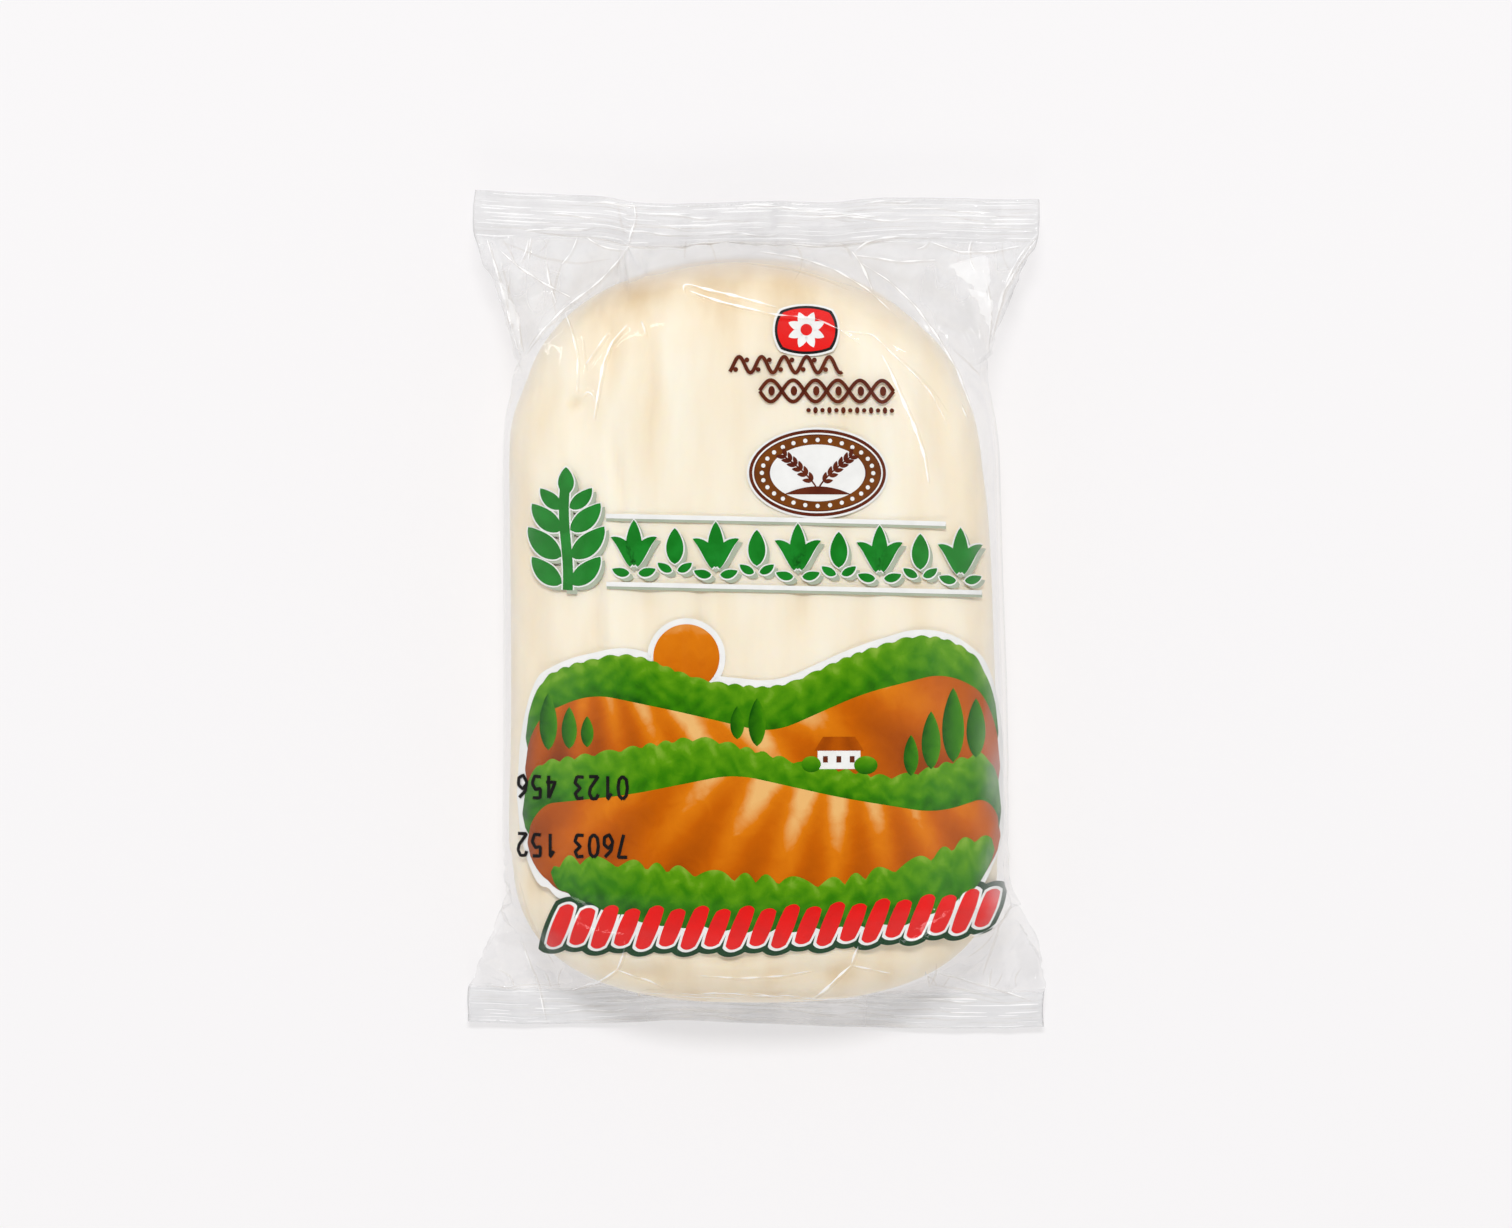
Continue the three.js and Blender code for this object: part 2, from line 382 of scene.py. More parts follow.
def fin_level(x, y):
    """Height of the sealed fins: they wave and droop, the lower one nearly to the table."""
    top = y > 0
    droop = np.clip((np.abs(y) - 70) / 9, 0, 1)
    wave = 0.5 * np.sin(x / 11 + np.where(top, 0.6, 2.2)) + 0.3 * np.sin(x / 4.7)
    return np.where(top, *FIN_LEVELS) - np.where(top, *FIN_DROOPS) * droop + wave * (0.4 + 0.6 * droop)


def middle_level(x, y):
    """Height of the sheet between the film's two layers, from the loaf's widest line out to the fins."""
    out = np.clip((np.abs(y) - 40) / 30, 0, 1)
    return LOAF_SIDE_LEVEL + (fin_level(x, y) - LOAF_SIDE_LEVEL) * out * out * (3 - 2 * out)


def slack_bag(rows, columns):
    """The film before it settles: an oval tube, flat at each end, with evenly spaced points."""
    lap = np.linspace(0, 2 * np.pi, 721)
    bag = np.zeros((len(rows), columns, 3))
    for i, y in enumerate(rows * PACK_LENGTH / CUT_LENGTH):
        root = PACK_LENGTH / 2 - (FIN_TOP if y > 0 else FIN_FOOT)
        close = np.clip((abs(y) - 38) / (root - 38), 0, 1)
        half = 48 if abs(y) < 45 else 46 + 9.4 * np.clip((abs(y) - 47) / 24, 0, 1)
        over = 19.4 * (1 - close**2.2) ** 0.6 + 0.1
        under = 15.6 * (1 - np.clip((abs(y) - 50) / (root - 50), 0, 1) ** 1.5) + 0.1
        x, s = -half * np.cos(lap), np.sin(lap)
        swell = np.where(s > 0, over * np.abs(s) ** 0.95, -under * np.abs(s) ** 0.9)
        z = middle_level(x, np.full_like(x, y)) + swell
        run = np.append(0, np.cumsum(np.hypot(np.diff(x), np.diff(z))))
        even = np.linspace(0, run[-1], columns, endpoint=False)
        bag[i] = np.stack([np.interp(even, run, x), np.full(columns, y), np.interp(even, run, z)], -1)
    return bag


def draw_together(a, b, rest, share):
    """Moves each pair of points along the line between them until they are their rest length apart."""
    gap = b - a
    gap *= (0.5 * share * (1 - rest / np.maximum(np.linalg.norm(gap, axis=-1), 1e-9)))[..., None]
    a += gap
    b -= gap


def settle(bag, rows, rounds, stiffness):
    """The film keeps its length along, around and corner to corner, bends little, stays outside the loaf and
    above the table, and its two layers are one in the fins. Each round moves every point towards all of
    that."""
    count, columns = bag.shape[:2]
    step = np.diff(rows)[:, None]
    pitch = GIRTH / columns
    column = np.arange(columns)
    from_left = np.minimum(column + 0.5, columns - column - 0.5) * pitch
    pinch = TUCK_SHARE * bell(from_left - TUCK_AT, TUCK_REACH)
    around = pitch * (1 - np.clip((rows - rows[-1] + FIN_TOP + 5) / 5, 0, 1)[:, None] * pinch)
    corner = np.hypot(step, (around[:-1] + around[1:]) / 2)
    sealed = (rows > rows[-1] - FIN_TOP - 0.01) | (rows < rows[0] + FIN_FOOT + 0.01)
    layer = np.sign(np.sin(2 * np.pi * column / columns).round(9))
    share_above = (step[1:] / (step[1:] + step[:-1]))[..., None]
    for _ in range(rounds):
        for odd in (0, 1):
            pairs = (count - odd) // 2
            near, far = bag[odd : odd + 2 * pairs : 2], bag[odd + 1 : odd + 1 + 2 * pairs : 2]
            draw_together(near, far, step[odd::2][:pairs], 1)
        draw_together(bag[:, 0::2], bag[:, 1::2], around[:, 0::2], 1)
        turned = np.roll(bag, -1, 1)
        draw_together(turned[:, 0::2], turned[:, 1::2], around[:, 1::2], 1)
        bag[:] = np.roll(turned, 1, 1)
        for shift in (1, -1):
            for odd in (0, 1):
                pairs = (count - odd) // 2
                near = bag[odd : odd + 2 * pairs : 2].copy()
                far = np.roll(bag[odd + 1 : odd + 1 + 2 * pairs : 2], -shift, 1)
                draw_together(near, far, corner[odd::2][:pairs], 0.4)
                bag[odd : odd + 2 * pairs : 2] = near
                bag[odd + 1 : odd + 1 + 2 * pairs : 2] = np.roll(far, shift, 1)
        smooth = bag + stiffness * 0.5 * (np.roll(bag, 1, 1) + np.roll(bag, -1, 1) - 2 * bag)
        smooth[1:-1] += stiffness * (bag[:-2] * share_above + bag[2:] * (1 - share_above) - bag[1:-1])
        smooth[sealed] = bag[sealed]
        bag[:] = smooth
        depth, slope = loaf_field(bag[..., 0], bag[..., 1], bag[..., 2])
        inside = depth < 0
        steep = np.maximum((slope[inside] ** 2).sum(-1), 1e-9)
        bag[inside] -= (depth[inside] / steep)[:, None] * slope[inside]
        middle = middle_level(bag[..., 0], bag[..., 1])
        lower_limit = np.where(layer > 0, middle + HALF_GAP, BACK_LEVEL)
        upper_limit = np.where(layer < 0, np.maximum(middle - HALF_GAP, BACK_LEVEL), np.inf)
        bag[..., 2] = np.clip(bag[..., 2], lower_limit, upper_limit)
        fins = bag[sealed]
        fins[..., :2] = (fins[..., :2] + np.roll(fins[:, ::-1], 1, 1)[..., :2]) / 2
        fins[..., 2] = middle_level(fins[..., 0], fins[..., 1]) + HALF_GAP * layer
        bag[sealed] = fins
    return bag


def finer(bag):
    """The same film with a new point halfway between every two, along and around."""
    count, columns = bag.shape[:2]
    taller = np.zeros((2 * count - 1, columns, 3))
    taller[::2], taller[1::2] = bag, (bag[1:] + bag[:-1]) / 2
    wider = np.zeros((2 * count - 1, 2 * columns, 3))
    wider[:, ::2], wider[:, 1::2] = taller, (taller + np.roll(taller, -1, 1)) / 2
    return wider


chance = np.random.default_rng(7)
film = slack_bag(film_rows[::4], film_columns // 4)
for level, (rounds, stiffness) in enumerate(((400, 0.03), (300, 0.02), (150, 0.012))):
    if level:
        film = finer(film)
    jolt = chance.normal(0, 0.3 / 2**level, film.shape[:2])
    film[..., 2] += (jolt + np.roll(jolt, 1, 1) + np.roll(jolt, -1, 1)) / 1.7
    film = settle(film, film_rows[:: 4 >> level], rounds, stiffness)

# over the flat of the crown the film is drawn tight, with only a little of its wrinkles left
depth, slope = loaf_field(film[..., 0], film[..., 1], film[..., 2])
steep = np.maximum(np.linalg.norm(slope, axis=-1), 0.01)
gap_to_loaf = np.maximum(depth, 0) / steep
from_end = np.where(film[..., 1] > 0, 50 - film[..., 1], film[..., 1] + 62)
on_crown = np.clip((film[..., 2] - 20) / 8, 0, 1)
tight = 0.88 * on_crown * np.clip(from_end / 22, 0, 1) ** 0.7 * bell(gap_to_loaf, 1.3)
film -= slope * (gap_to_loaf * tight / steep)[..., None]
gap_to_loaf *= 1 - tight

# at the fins' roots it turns outwards without doubling back under itself
far_out, far_down = film_rows > 50, film_rows < -50
film[far_out, :, 1] = np.maximum.accumulate(film[far_out, :, 1], 0)
film[far_down, :, 1] = np.minimum.accumulate(film[far_down, :, 1][::-1], 0)[::-1]
root_rows = np.where(film_rows > 0, half_cut - FIN_TOP, half_cut - FIN_FOOT)
at_root = (np.abs(np.abs(film_rows) - root_rows) < 2.5)[1:-1, None, None]
for _ in range(10):
    film[1:-1] += at_root * 0.25 * (film[:-2] + film[2:] - 2 * film[1:-1])

# The bag's outline as measured: at each height on the pack, how far its left and right sides are from the
# middle. The settled film is eased sideways onto it, row by row, and its cut edges along the pack onto
# theirs.
SIDES = (
    (-80, 54.8, 55.2), (-76, 55.4, 55.0), (-71.4, 55.2, 55.4), (-66.9, 53.5, 55.2), (-62.3, 51.4, 54.2),
    (-58, 49.4, 52.2), (-54, 48.3, 49.5), (-50, 48.1, 48.3), (-37, 48.1, 48.1), (-14, 48.1, 47.7),
    (11, 48.1, 46.8), (24, 48.1, 46.4), (31, 48.0, 46.2), (36, 47.7, 45.5), (40.4, 46.9, 44.7),
    (43.5, 46.3, 44.1), (47.3, 45.9, 44.5), (51.8, 46.8, 45.9), (56.4, 48.1, 47.8), (61, 49.7, 49.5),
    (65.5, 51.4, 51.4), (70, 53.4, 53.6), (73, 54.0, 54.0), (80, 53.8, 54.0),
)  # fmt: skip
CUT_TOP = (
    (-54, 80.0), (-51.6, 80.0), (-46, 79.6), (-34, 79.1), (-28.7, 78.9), (-25.9, 78.5), (-23, 77.7),
    (-14.5, 77.3), (-3, 77.7), (5.5, 77.9), (14, 77.5), (20, 78.1), (26, 78.5), (40, 78.5), (43, 78.3),
    (54, 78.3),
)  # fmt: skip
CUT_FOOT = (
    (-54.4, -78.9), (-48.7, -79.2), (-39, -79.4), (-31.6, -79.2), (-23, -79.0), (-16, -78.5), (-7.4, -78.9),
    (5.5, -79.4), (14, -79.8), (21, -80), (28, -80.2), (48, -80.2), (55, -79.8),
)  # fmt: skip


def eased(knots, column, at):
    """A column of a knot table at each place, with its corners rounded off."""
    table = np.array(knots)
    spread = np.linspace(-1.6, 1.6, 5)
    return sum(np.interp(at + step, table[:, 0], table[:, column]) for step in spread) / 5


LOOSE = 9.0  # of film before each fin, over which its cut edge is eased into place
for end, fin, knots in ((1, FIN_TOP, CUT_TOP), (-1, FIN_FOOT, CUT_FOOT)):
    own_edge = film[-1 if end > 0 else 0]
    order = np.argsort(own_edge[:, 0])
    miss = eased(knots, 1, film[..., 0]) - np.interp(film[..., 0], own_edge[order, 0], own_edge[order, 1])
    into_end = np.clip((end * film_rows - (half_cut - fin - LOOSE)) / LOOSE, 0, 1)[:, None]
    film[..., 1] += miss * into_end * into_end * (3 - 2 * into_end)
depth, slope = loaf_field(film[..., 0], film[..., 1], film[..., 2])
inside = (depth < 0) & (np.abs(film_rows) < half_cut - FIN_TOP)[:, None]
film[inside] -= (depth[inside] / np.maximum((slope[inside] ** 2).sum(-1), 1e-9))[:, None] * slope[inside]
film[..., 2] = np.maximum(film[..., 2], BACK_LEVEL)

levels = np.arange(-77, 77.5, 1.0)
near = [np.abs(film[..., 1] - y) < 1.2 for y in levels]
own_left = np.array([-film[..., 0][band].min() for band in near])
own_right = np.array([film[..., 0][band].max() for band in near])
side_scale = (eased(SIDES, 1, levels) + eased(SIDES, 2, levels)) / (own_left + own_right)
side_shift = (eased(SIDES, 2, levels) - eased(SIDES, 1, levels) - (own_right - own_left) * side_scale) / 2


def to_outline(x, y):
    """Sideways place once the bag has its measured outline."""
    return x * np.interp(y, levels, side_scale) + np.interp(y, levels, side_shift)


film[..., 0] = to_outline(film[..., 0], film[..., 1])
loaf_places = np.empty(3 * len(cheese.data.vertices))
cheese.data.vertices.foreach_get("co", loaf_places)
loaf_places[::3] = to_outline(loaf_places[::3] / MM, np.clip(loaf_places[1::3] / MM, -50, 46)) * MM
cheese.data.vertices.foreach_set("co", loaf_places)


def cubic_weights(at, last, around=False):
    """Which four stored lines each new line reads, and the weights of the cubic through the middle two."""
    base = np.minimum(np.floor(at).astype(int), last - (0 if around else 1))
    f = (at - base)[:, None]
    first, second = (-f + 2 * f**2 - f**3) / 2, (2 - 5 * f**2 + 3 * f**3) / 2
    third, fourth = (f + 4 * f**2 - 3 * f**3) / 2, (f**3 - f**2) / 2
    four = base[:, None] + np.arange(-1, 3)
    four = four % (last + 1) if around else np.clip(four, 0, last)
    return four, np.concatenate([first, second, third, fourth], 1)


# finer columns on the printed side and coarser ones behind; the rows only thin out over the smooth crown
FRONT, BEHIND = 240, 120
row_at = np.concatenate([np.arange(0, 100), np.arange(100, 216, 2), np.arange(216, 321)]).astype(float)
column_at = np.concatenate([np.arange(FRONT) * 144 / FRONT, 144 + np.arange(BEHIND) * 144 / BEHIND])
lines, weights = cubic_weights(row_at, 320)
film = np.concatenate([film, gap_to_loaf[..., None]], -1)
film = (film[lines] * weights[:, :, None, None]).sum(1)
lines, weights = cubic_weights(column_at, 287, around=True)
film = (film[:, lines] * weights[None, :, :, None]).sum(2)
film, gap_to_loaf = film[..., :3].copy(), np.maximum(film[..., 3], 0)
row_place = np.interp(row_at, np.arange(321), film_rows)


def grid_normals(points):
    """Outward unit normals of the closed film grid, from its differences along and around."""
    along = np.gradient(points, axis=0)
    around = np.roll(points, -1, 1) - np.roll(points, 1, 1)
    normal = np.cross(around, along)
    return normal / np.maximum(np.linalg.norm(normal, axis=-1, keepdims=True), 1e-9)


# The crimping jaws press level ribs into both fins, harder in some places than in others
from_edge = np.minimum(row_place - row_place[0], row_place[-1] - row_place)[:, None]
depth_of_fin = np.where(row_place > 0, FIN_TOP, FIN_FOOT)[:, None]
in_fin = np.clip((depth_of_fin - from_edge) / 0.6, 0, 1)
firm = 0.65 + 0.35 * np.sin(film[..., 0] / 7.3 + 1.1) * np.sin(film[..., 0] / 3.1 + row_place[:, None] / 2)
film[..., 2] += in_fin * firm * RIB_DEPTH * np.sin(2 * np.pi * from_edge / RIB_PITCH)

# Clear film holds every fold it was ever given. Each is a low tent along a path: how high it stands, how far
# it reaches to each side, and the places that it runs through.
CREASES = (
    (0.45, 1.3, (-51.1, 70.3), (-49.3, 64.9), (-47.5, 58.7), (-46.0, 53.0), (-44.8, 48.4)),
    (-0.4, 1.2, (-48.5, 66.0), (-46.7, 59.6), (-45.1, 53.9), (-44.0, 48.8)),
    (0.35, 0.9, (-24.0, 69.5), (-26.2, 66.0), (-29.4, 62.1), (-32.8, 59.4), (-36.5, 56.5), (-39.9, 52.9),
     (-43.4, 48.6)),
    (0.3, 0.8, (-39.8, 65.9), (-39.1, 62.0), (-37.7, 57.9)),
    (-0.3, 0.8, (-36.8, 66.7), (-37.8, 63.4), (-38.6, 58.9), (-37.6, 55.0)),
    (0.35, 0.8, (-35.9, 56.1), (-34.4, 51.7), (-33.4, 47.3), (-33.5, 40.9)),
    (-0.3, 0.7, (-32.6, 51.1), (-32.2, 47.6), (-31.8, 45.0)),
    (0.3, 0.8, (-27.2, 52.7), (-29.2, 49.9), (-31.8, 46.1)),
    (0.5, 0.8, (-24.1, 53.4), (-26.9, 50.4), (-28.6, 46.1), (-29.5, 40.8), (-30.3, 35.9)),
    (-0.35, 0.8, (-25.1, 52.1), (-27.7, 49.1), (-29.4, 44.6)),
    (0.3, 0.6, (-32.4, 40.1), (-31.4, 41.2), (-30.3, 40.1), (-29.7, 38.2)),
    (0.3, 0.7, (-21.5, 54.1), (-20.9, 53.0), (-20.6, 51.3)),
    (0.6, 0.8, (-13.5, 59.8), (-13.9, 61.0), (-12.6, 61.2), (-9.6, 60.2), (-3.0, 58.6), (3.7, 56.7)),
    (0.5, 0.9, (-12.4, 59.8), (-6.7, 57.7), (0.7, 55.9)),
    (0.35, 0.7, (-11.8, 59.4), (-5.8, 57.5), (3.7, 55.2), (11.0, 54.6), (15.7, 52.4), (19.1, 49.9)),
    (0.45, 1.0, (18.2, 68.0), (20.0, 65.0), (21.8, 60.2)),
    (0.35, 0.7, (18.6, 68.0), (20.9, 70.0), (24.0, 70.8), (28.1, 71.2)),
    (0.3, 0.7, (18.9, 67.1), (22.7, 66.7), (27.2, 65.9), (33.9, 66.3)),
    (-0.35, 0.8, (17.8, 66.7), (17.1, 69.2), (15.6, 70.4)),
    (0.35, 0.9, (0.8, 67.9), (8.3, 66.6), (14.9, 64.1), (21.0, 60.2), (26.4, 55.0)),
    (-0.3, 0.8, (-2.1, 65.6), (6.4, 64.4), (13.0, 62.2), (17.6, 60.1)),
    (0.35, 0.9, (20.0, 65.4), (24.9, 62.2), (29.9, 57.2), (34.2, 51.1), (37.9, 44.7), (40.6, 37.7)),
    (0.3, 0.7, (16.1, 52.2), (21.7, 51.7), (25.1, 48.3), (29.2, 44.6), (32.6, 40.9), (35.4, 35.7)),
    (-0.3, 0.7, (25.8, 48.1), (29.8, 44.6), (33.3, 40.9), (35.6, 37.5)),
    (0.65, 0.9, (23.5, 47.7), (25.0, 44.9), (27.1, 39.9), (29.5, 34.5), (31.4, 29.0), (32.2, 24.0)),
    (0.3, 0.6, (38.3, 39.1), (38.9, 37.6), (39.5, 36.3)),
    (0.35, 0.9, (36.4, 50.8), (38.9, 48.9), (41.6, 46.9), (43.4, 45.2)),
    (-0.35, 0.8, (36.8, 49.2), (39.8, 46.6), (42.1, 44.6)),
    (0.35, 0.9, (35.4, 65.9), (36.2, 61.4), (38.4, 55.0), (40.6, 49.9), (42.8, 45.9)),
    (0.4, 1.0, (53.2, 70.4), (50.1, 66.1), (46.9, 60.6), (45.4, 55.3), (44.2, 51.0)),
    (-0.35, 0.9, (-48.6, 70.3), (-40.9, 67.1), (-34.3, 65.9), (-27.7, 66.8)),
    (0.35, 0.9, (-48.6, 68.3), (-44.7, 64.8), (-39.8, 61.6), (-35.0, 59.0)),
    (0.3, 0.8, (33.1, 70.0), (38.7, 67.9), (44.4, 68.0), (50.1, 69.2)),
    (0.4, 1.0, (-46.0, -47.1), (-46.5, -53.1), (-45.0, -57.7), (-43.1, -63.2), (-40.6, -68.6)),
    (-0.35, 0.9, (-44.8, -50.8), (-43.2, -56.9), (-40.7, -62.6), (-38.5, -66.5)),
    (0.3, 0.8, (-48.7, -57.3), (-50.2, -62.0), (-52.1, -66.9), (-53.7, -71.2)),
    (-0.3, 0.8, (-47.0, -55.9), (-46.1, -61.4), (-47.0, -67.2)),
    (0.55, 0.8, (-26.1, -67.4), (-28.6, -69.3), (-31.1, -70.9), (-35.1, -72.4)),
    (0.4, 0.7, (-26.1, -67.4), (-25.3, -65.6), (-24.5, -62.9)),
    (0.4, 0.7, (-26.1, -67.4), (-23.3, -68.5), (-19.9, -69.5), (-17.7, -70.8)),
    (0.35, 0.7, (-26.1, -67.4), (-26.3, -69.4), (-27.0, -72.1)),
    (0.6, 0.8, (17.8, -66.4), (15.4, -68.6), (12.8, -71.4), (10.6, -73.1)),
    (0.4, 0.7, (17.8, -66.4), (18.3, -64.5), (19.1, -62.8)),
    (0.4, 0.7, (17.8, -66.4), (21.0, -67.1), (25.2, -68.1)),
    (0.35, 0.8, (-10.5, -68.4), (-3.0, -68.9), (4.5, -68.5), (10.5, -67.4)),
    (0.35, 0.8, (34.0, -68.2), (39.7, -70.2), (46.5, -72.4), (52.3, -74.5)),
    (-0.35, 0.8, (33.0, -70.9), (39.8, -72.4), (46.5, -74.3)),
    (0.35, 0.9, (49.4, -56.0), (51.3, -60.7), (53.2, -66.5), (54.1, -71.2)),
    (-0.3, 0.9, (47.6, -55.7), (47.2, -60.4), (45.4, -65.1), (42.5, -69.2)),
    (0.3, 0.5, (-23.2, 77.2), (-22.9, 74.5), (-24.0, 71.2), (-24.6, 68.8)),
    (-0.3, 0.5, (-26.6, 78.0), (-26.1, 74.6), (-25.3, 71.6)),
    (0.35, 0.8, (46.8, -59.4), (44.2, -64.1), (40.1, -67.7)),
)  # fmt: skip


folds = []


def evenly(path, pitch, least=6):
    """Points one pitch apart along a path, but no fewer than the least, and how far along it each one is."""
    path = np.array(path, float)
    run = np.append(0, np.cumsum(np.hypot(*np.diff(path, axis=0).T)))
    along = np.linspace(0, run[-1], max(int(run[-1] / pitch), least))
    return np.stack([np.interp(along, run, path[:, 0]), np.interp(along, run, path[:, 1])], -1), along


def pressed(points, normals, path, height, reach):
    """Moves film along its normals by a tent of that height over a path, falling to nothing at its ends."""
    folds.append((height, np.array(path, float)))
    knots, _ = evenly(path, 0.35)
    for _ in range(3):
        knots[1:-1] = 0.25 * knots[:-2] + 0.5 * knots[1:-1] + 0.25 * knots[2:]
    low, high = knots.min(0) - reach, knots.max(0) + reach
    close = np.all((points[..., :2] > low) & (points[..., :2] < high), axis=-1)
    away = np.linalg.norm(points[close][:, None, :2] - knots[None], axis=-1)
    nearest = away.argmin(1)
    tent = np.clip(1 - away.min(1) / reach, 0, 1)
    taper = np.sin(np.pi * np.clip((nearest + 0.5) / len(knots), 0, 1)) ** 0.6
    points[close] += normals[close] * (height * tent * taper)[:, None]


def curl(start, bearing, length, bow, count):
    """A path that sets out at a bearing and bends away from it by its bow."""
    s = np.linspace(0, 1, count)
    return start + length * s[:, None] * np.stack([np.cos(bearing + bow * s), np.sin(bearing + bow * s)], -1)


chance = np.random.default_rng(11)
front = film[:, : FRONT + 1].copy()
front_normals = grid_normals(film)[:, : FRONT + 1]
loose = 1 - np.exp(-gap_to_loaf[:, : FRONT + 1] / 1.2)
plan_x, plan_y = front[..., 0], front[..., 1]
crumple, facets = np.zeros_like(plan_x), np.zeros_like(plan_x)
for n in range(9):  # facets: saw-toothed waves at many bearings, each in patches of its own
    bearing, pitch = chance.uniform(0, np.pi), chance.uniform(5.5, 13)
    warp = 1.1 * np.sin(plan_x / 9.3 + n) + 0.9 * np.sin(plan_y / 7.1 + 2.1 * n)
    phase = (plan_x * math.cos(bearing) + plan_y * math.sin(bearing) + warp) / pitch + chance.uniform(0, 1)
    patch = np.clip(np.sin(plan_x / 8.7 + 1.7 * n) + np.sin(plan_y / 6.3 + 2.9 * n) - 0.2, 0, 1)
    saw = phase - np.floor(phase) - 0.5
    crumple += patch * (np.abs(saw) * 4 - 1) * 0.085 * pitch / 2
    facets += patch * np.sign(saw)
front += front_normals * (crumple * loose * (1 - 0.75 * in_fin))[..., None]


def press_by_chance(path, heights, reaches):
    """Presses a fold out or in along a path, with a height and a reach drawn from between two of each."""
    height = chance.choice([-1, 1]) * chance.uniform(*heights)
    pressed(front, front_normals, path, height, chance.uniform(*reaches))


# pleats that start at each waist and run up to the fin, and short ones that come down from the fin's root
WAISTS = (((-45.5, 48.5), 60, 108), ((43.6, 47), 70, 124), ((-47.8, -56), 252, 300), ((48, -53), 238, 292))
for waist, turn_from, turn_to in WAISTS:
    for _ in range(6):
        bearing = math.radians(chance.uniform(turn_from, turn_to))
        start = np.array(waist) + chance.normal(0, 1.0, 2)
        start += chance.uniform(0, 8) * np.array([math.cos(bearing), math.sin(bearing)])
        path = curl(start, bearing, chance.uniform(6, 20), chance.normal(0, 0.25), 7)
        press_by_chance(path, (0.15, 0.4), (0.6, 1.1))
for n in range(24):
    if n % 2:
        end, longest, start = 1, 9, np.array([chance.uniform(-50, 50), 70.8])
    else:
        end, longest, start = -1, 6, np.array([chance.choice([-1, 1]) * chance.uniform(32, 50), -71.6])
    bearing = math.radians(-90 * end + chance.normal(0, 28))
    path = curl(start, bearing, chance.uniform(3, longest), chance.normal(0, 0.4), 6)
    press_by_chance(path, (0.12, 0.3), (0.6, 1.0))
for n in range(46):  # flattened wrinkles that the jaws pressed into the fins, nearly level
    end = 1 if n % 2 else -1
    start = np.array([chance.uniform(-52, 40), end * chance.uniform(71.5, 78.2)])
    s, length, tilt = np.linspace(0, 1, 7), chance.uniform(5, 20), chance.normal(0, 0.06)
    path = start + length * s[:, None] * np.stack([1 + 0 * s, tilt + 0.05 * np.sin(6 * s)], -1)
    press_by_chance(path, (0.1, 0.25), (0.5, 0.9))
for height, reach, *path in CREASES:
    pressed(front, front_normals, path, height, reach)
film[:, : FRONT + 1] = front

FILM_INDEX = 1.5
film_paint, tree = new_paint("film_clear")
place = shader(tree, "TexCoord", {}, "Object")
wrinkle = shader(tree, "TexNoise", {"Vector": place, "Scale": 320, "Detail": 3, "Distortion": 1.2})
crinkle = shader(tree, "Bump", {"Height": wrinkle, "Strength": 0.16, "Distance": 0.25 * MM})
from_behind = shader(tree, "NewGeometry", {}, "Backfacing")
# a sheet reflects alike from either side, so from behind its index is turned over
index = reckon(tree, "MULTIPLY_ADD", from_behind, 1 / FILM_INDEX - FILM_INDEX, FILM_INDEX)
edge = shader(tree, "Fresnel", {"IOR": index, "Normal": crinkle})
# both of its faces reflect, and seen edge on it is still never a mirror
shine = reckon(tree, "MINIMUM", reckon(tree, "MULTIPLY", edge, 0.9), 0.2)
haze = shader(tree, "Attribute", {}, "Fac", attribute_name="haze")
tint = shader(tree, "Attribute", {}, "Fac", attribute_name="tint")
passed = reckon(tree, "SUBTRACT", 0.991, tint)  # what share of the light goes through one layer
cover = reckon(tree, "ADD", shine, haze, use_clamp=True)
bright = {
    "Base Color": (0.85, 0.85, 0.86, 1),
    "Roughness": 0.055,
    "Metallic": reckon(tree, "DIVIDE", shine, cover, use_clamp=True),
    "Normal": crinkle,
}
clear, gloss = shader(tree, "BsdfTransparent", {"Color": passed}), shader(tree, "BsdfPrincipled", bright)
make_surface(tree, shader(tree, "MixShader", {"Fac": cover, 1: clear, 2: gloss}))

rows_of_film, columns_of_film = film.shape[:2]
walls = grid_faces(rows_of_film, columns_of_film, wrap=True).tolist()
pair = 2 * np.arange(BEHIND)
behind = (columns_of_film - np.arange(BEHIND + 1)) % columns_of_film
behind[-1] = FRONT
hem = np.stack([pair, pair + 1, pair + 2, behind[1:], behind[:-1]], -1)  # the cut edge, one side to the other
hem_faces = [list(dict.fromkeys(face)) for face in hem.tolist()]
last_row = (rows_of_film - 1) * columns_of_film
hems = hem_faces + [[last_row + corner for corner in reversed(face)] for face in hem_faces]

# moisture clouds the film where it leaves the loaf, at and over its upper end; along both flanks the same
# white haze is a painted sheen, where the film turns down over the loaf's sides
film_x, film_y = film[..., 0], film[..., 1]
streaks = 0.6 + 0.25 * np.sin(film_x / 1.9 + film_y / 3.3) + 0.15 * np.sin(film_x / 0.8 - film_y / 2.1)
veil_and_sheen = 0.34 * streaks * (1 - np.exp(-gap_to_loaf / 3)) * np.clip((film_y - 46) / 14, 0, 1)
loaf_top = 67 - np.where(film_x > -2, 0.013, 0.0085) * (film_x + 2) ** 2
over_end = np.clip((film_y - loaf_top + 6) / 6.5, 0, 1) ** 1.3
veil_and_sheen += 0.5 * over_end * np.clip(1.6 - np.abs(film_x + 2) / 26, 0, 1)
loaf_x, loaf_y = loaf_places[::3] / MM, loaf_places[1::3] / MM
heights = np.arange(-66, 60, 2.0)
bands = [np.abs(loaf_y - y) < 1.6 for y in heights]
flank_left = np.interp(film_y, heights, [loaf_x[band].min() for band in bands])
flank_right = np.interp(film_y, heights, [loaf_x[band].max() for band in bands])
from_flank = np.minimum(film_x - flank_left, flank_right - film_x)
printed_side = np.arange(columns_of_film)[None, :] <= FRONT
veil_and_sheen += 0.22 * streaks * bell(from_flank, 3.2) * np.clip((62 - np.abs(film_y)) / 8, 0, 1) * printed_side
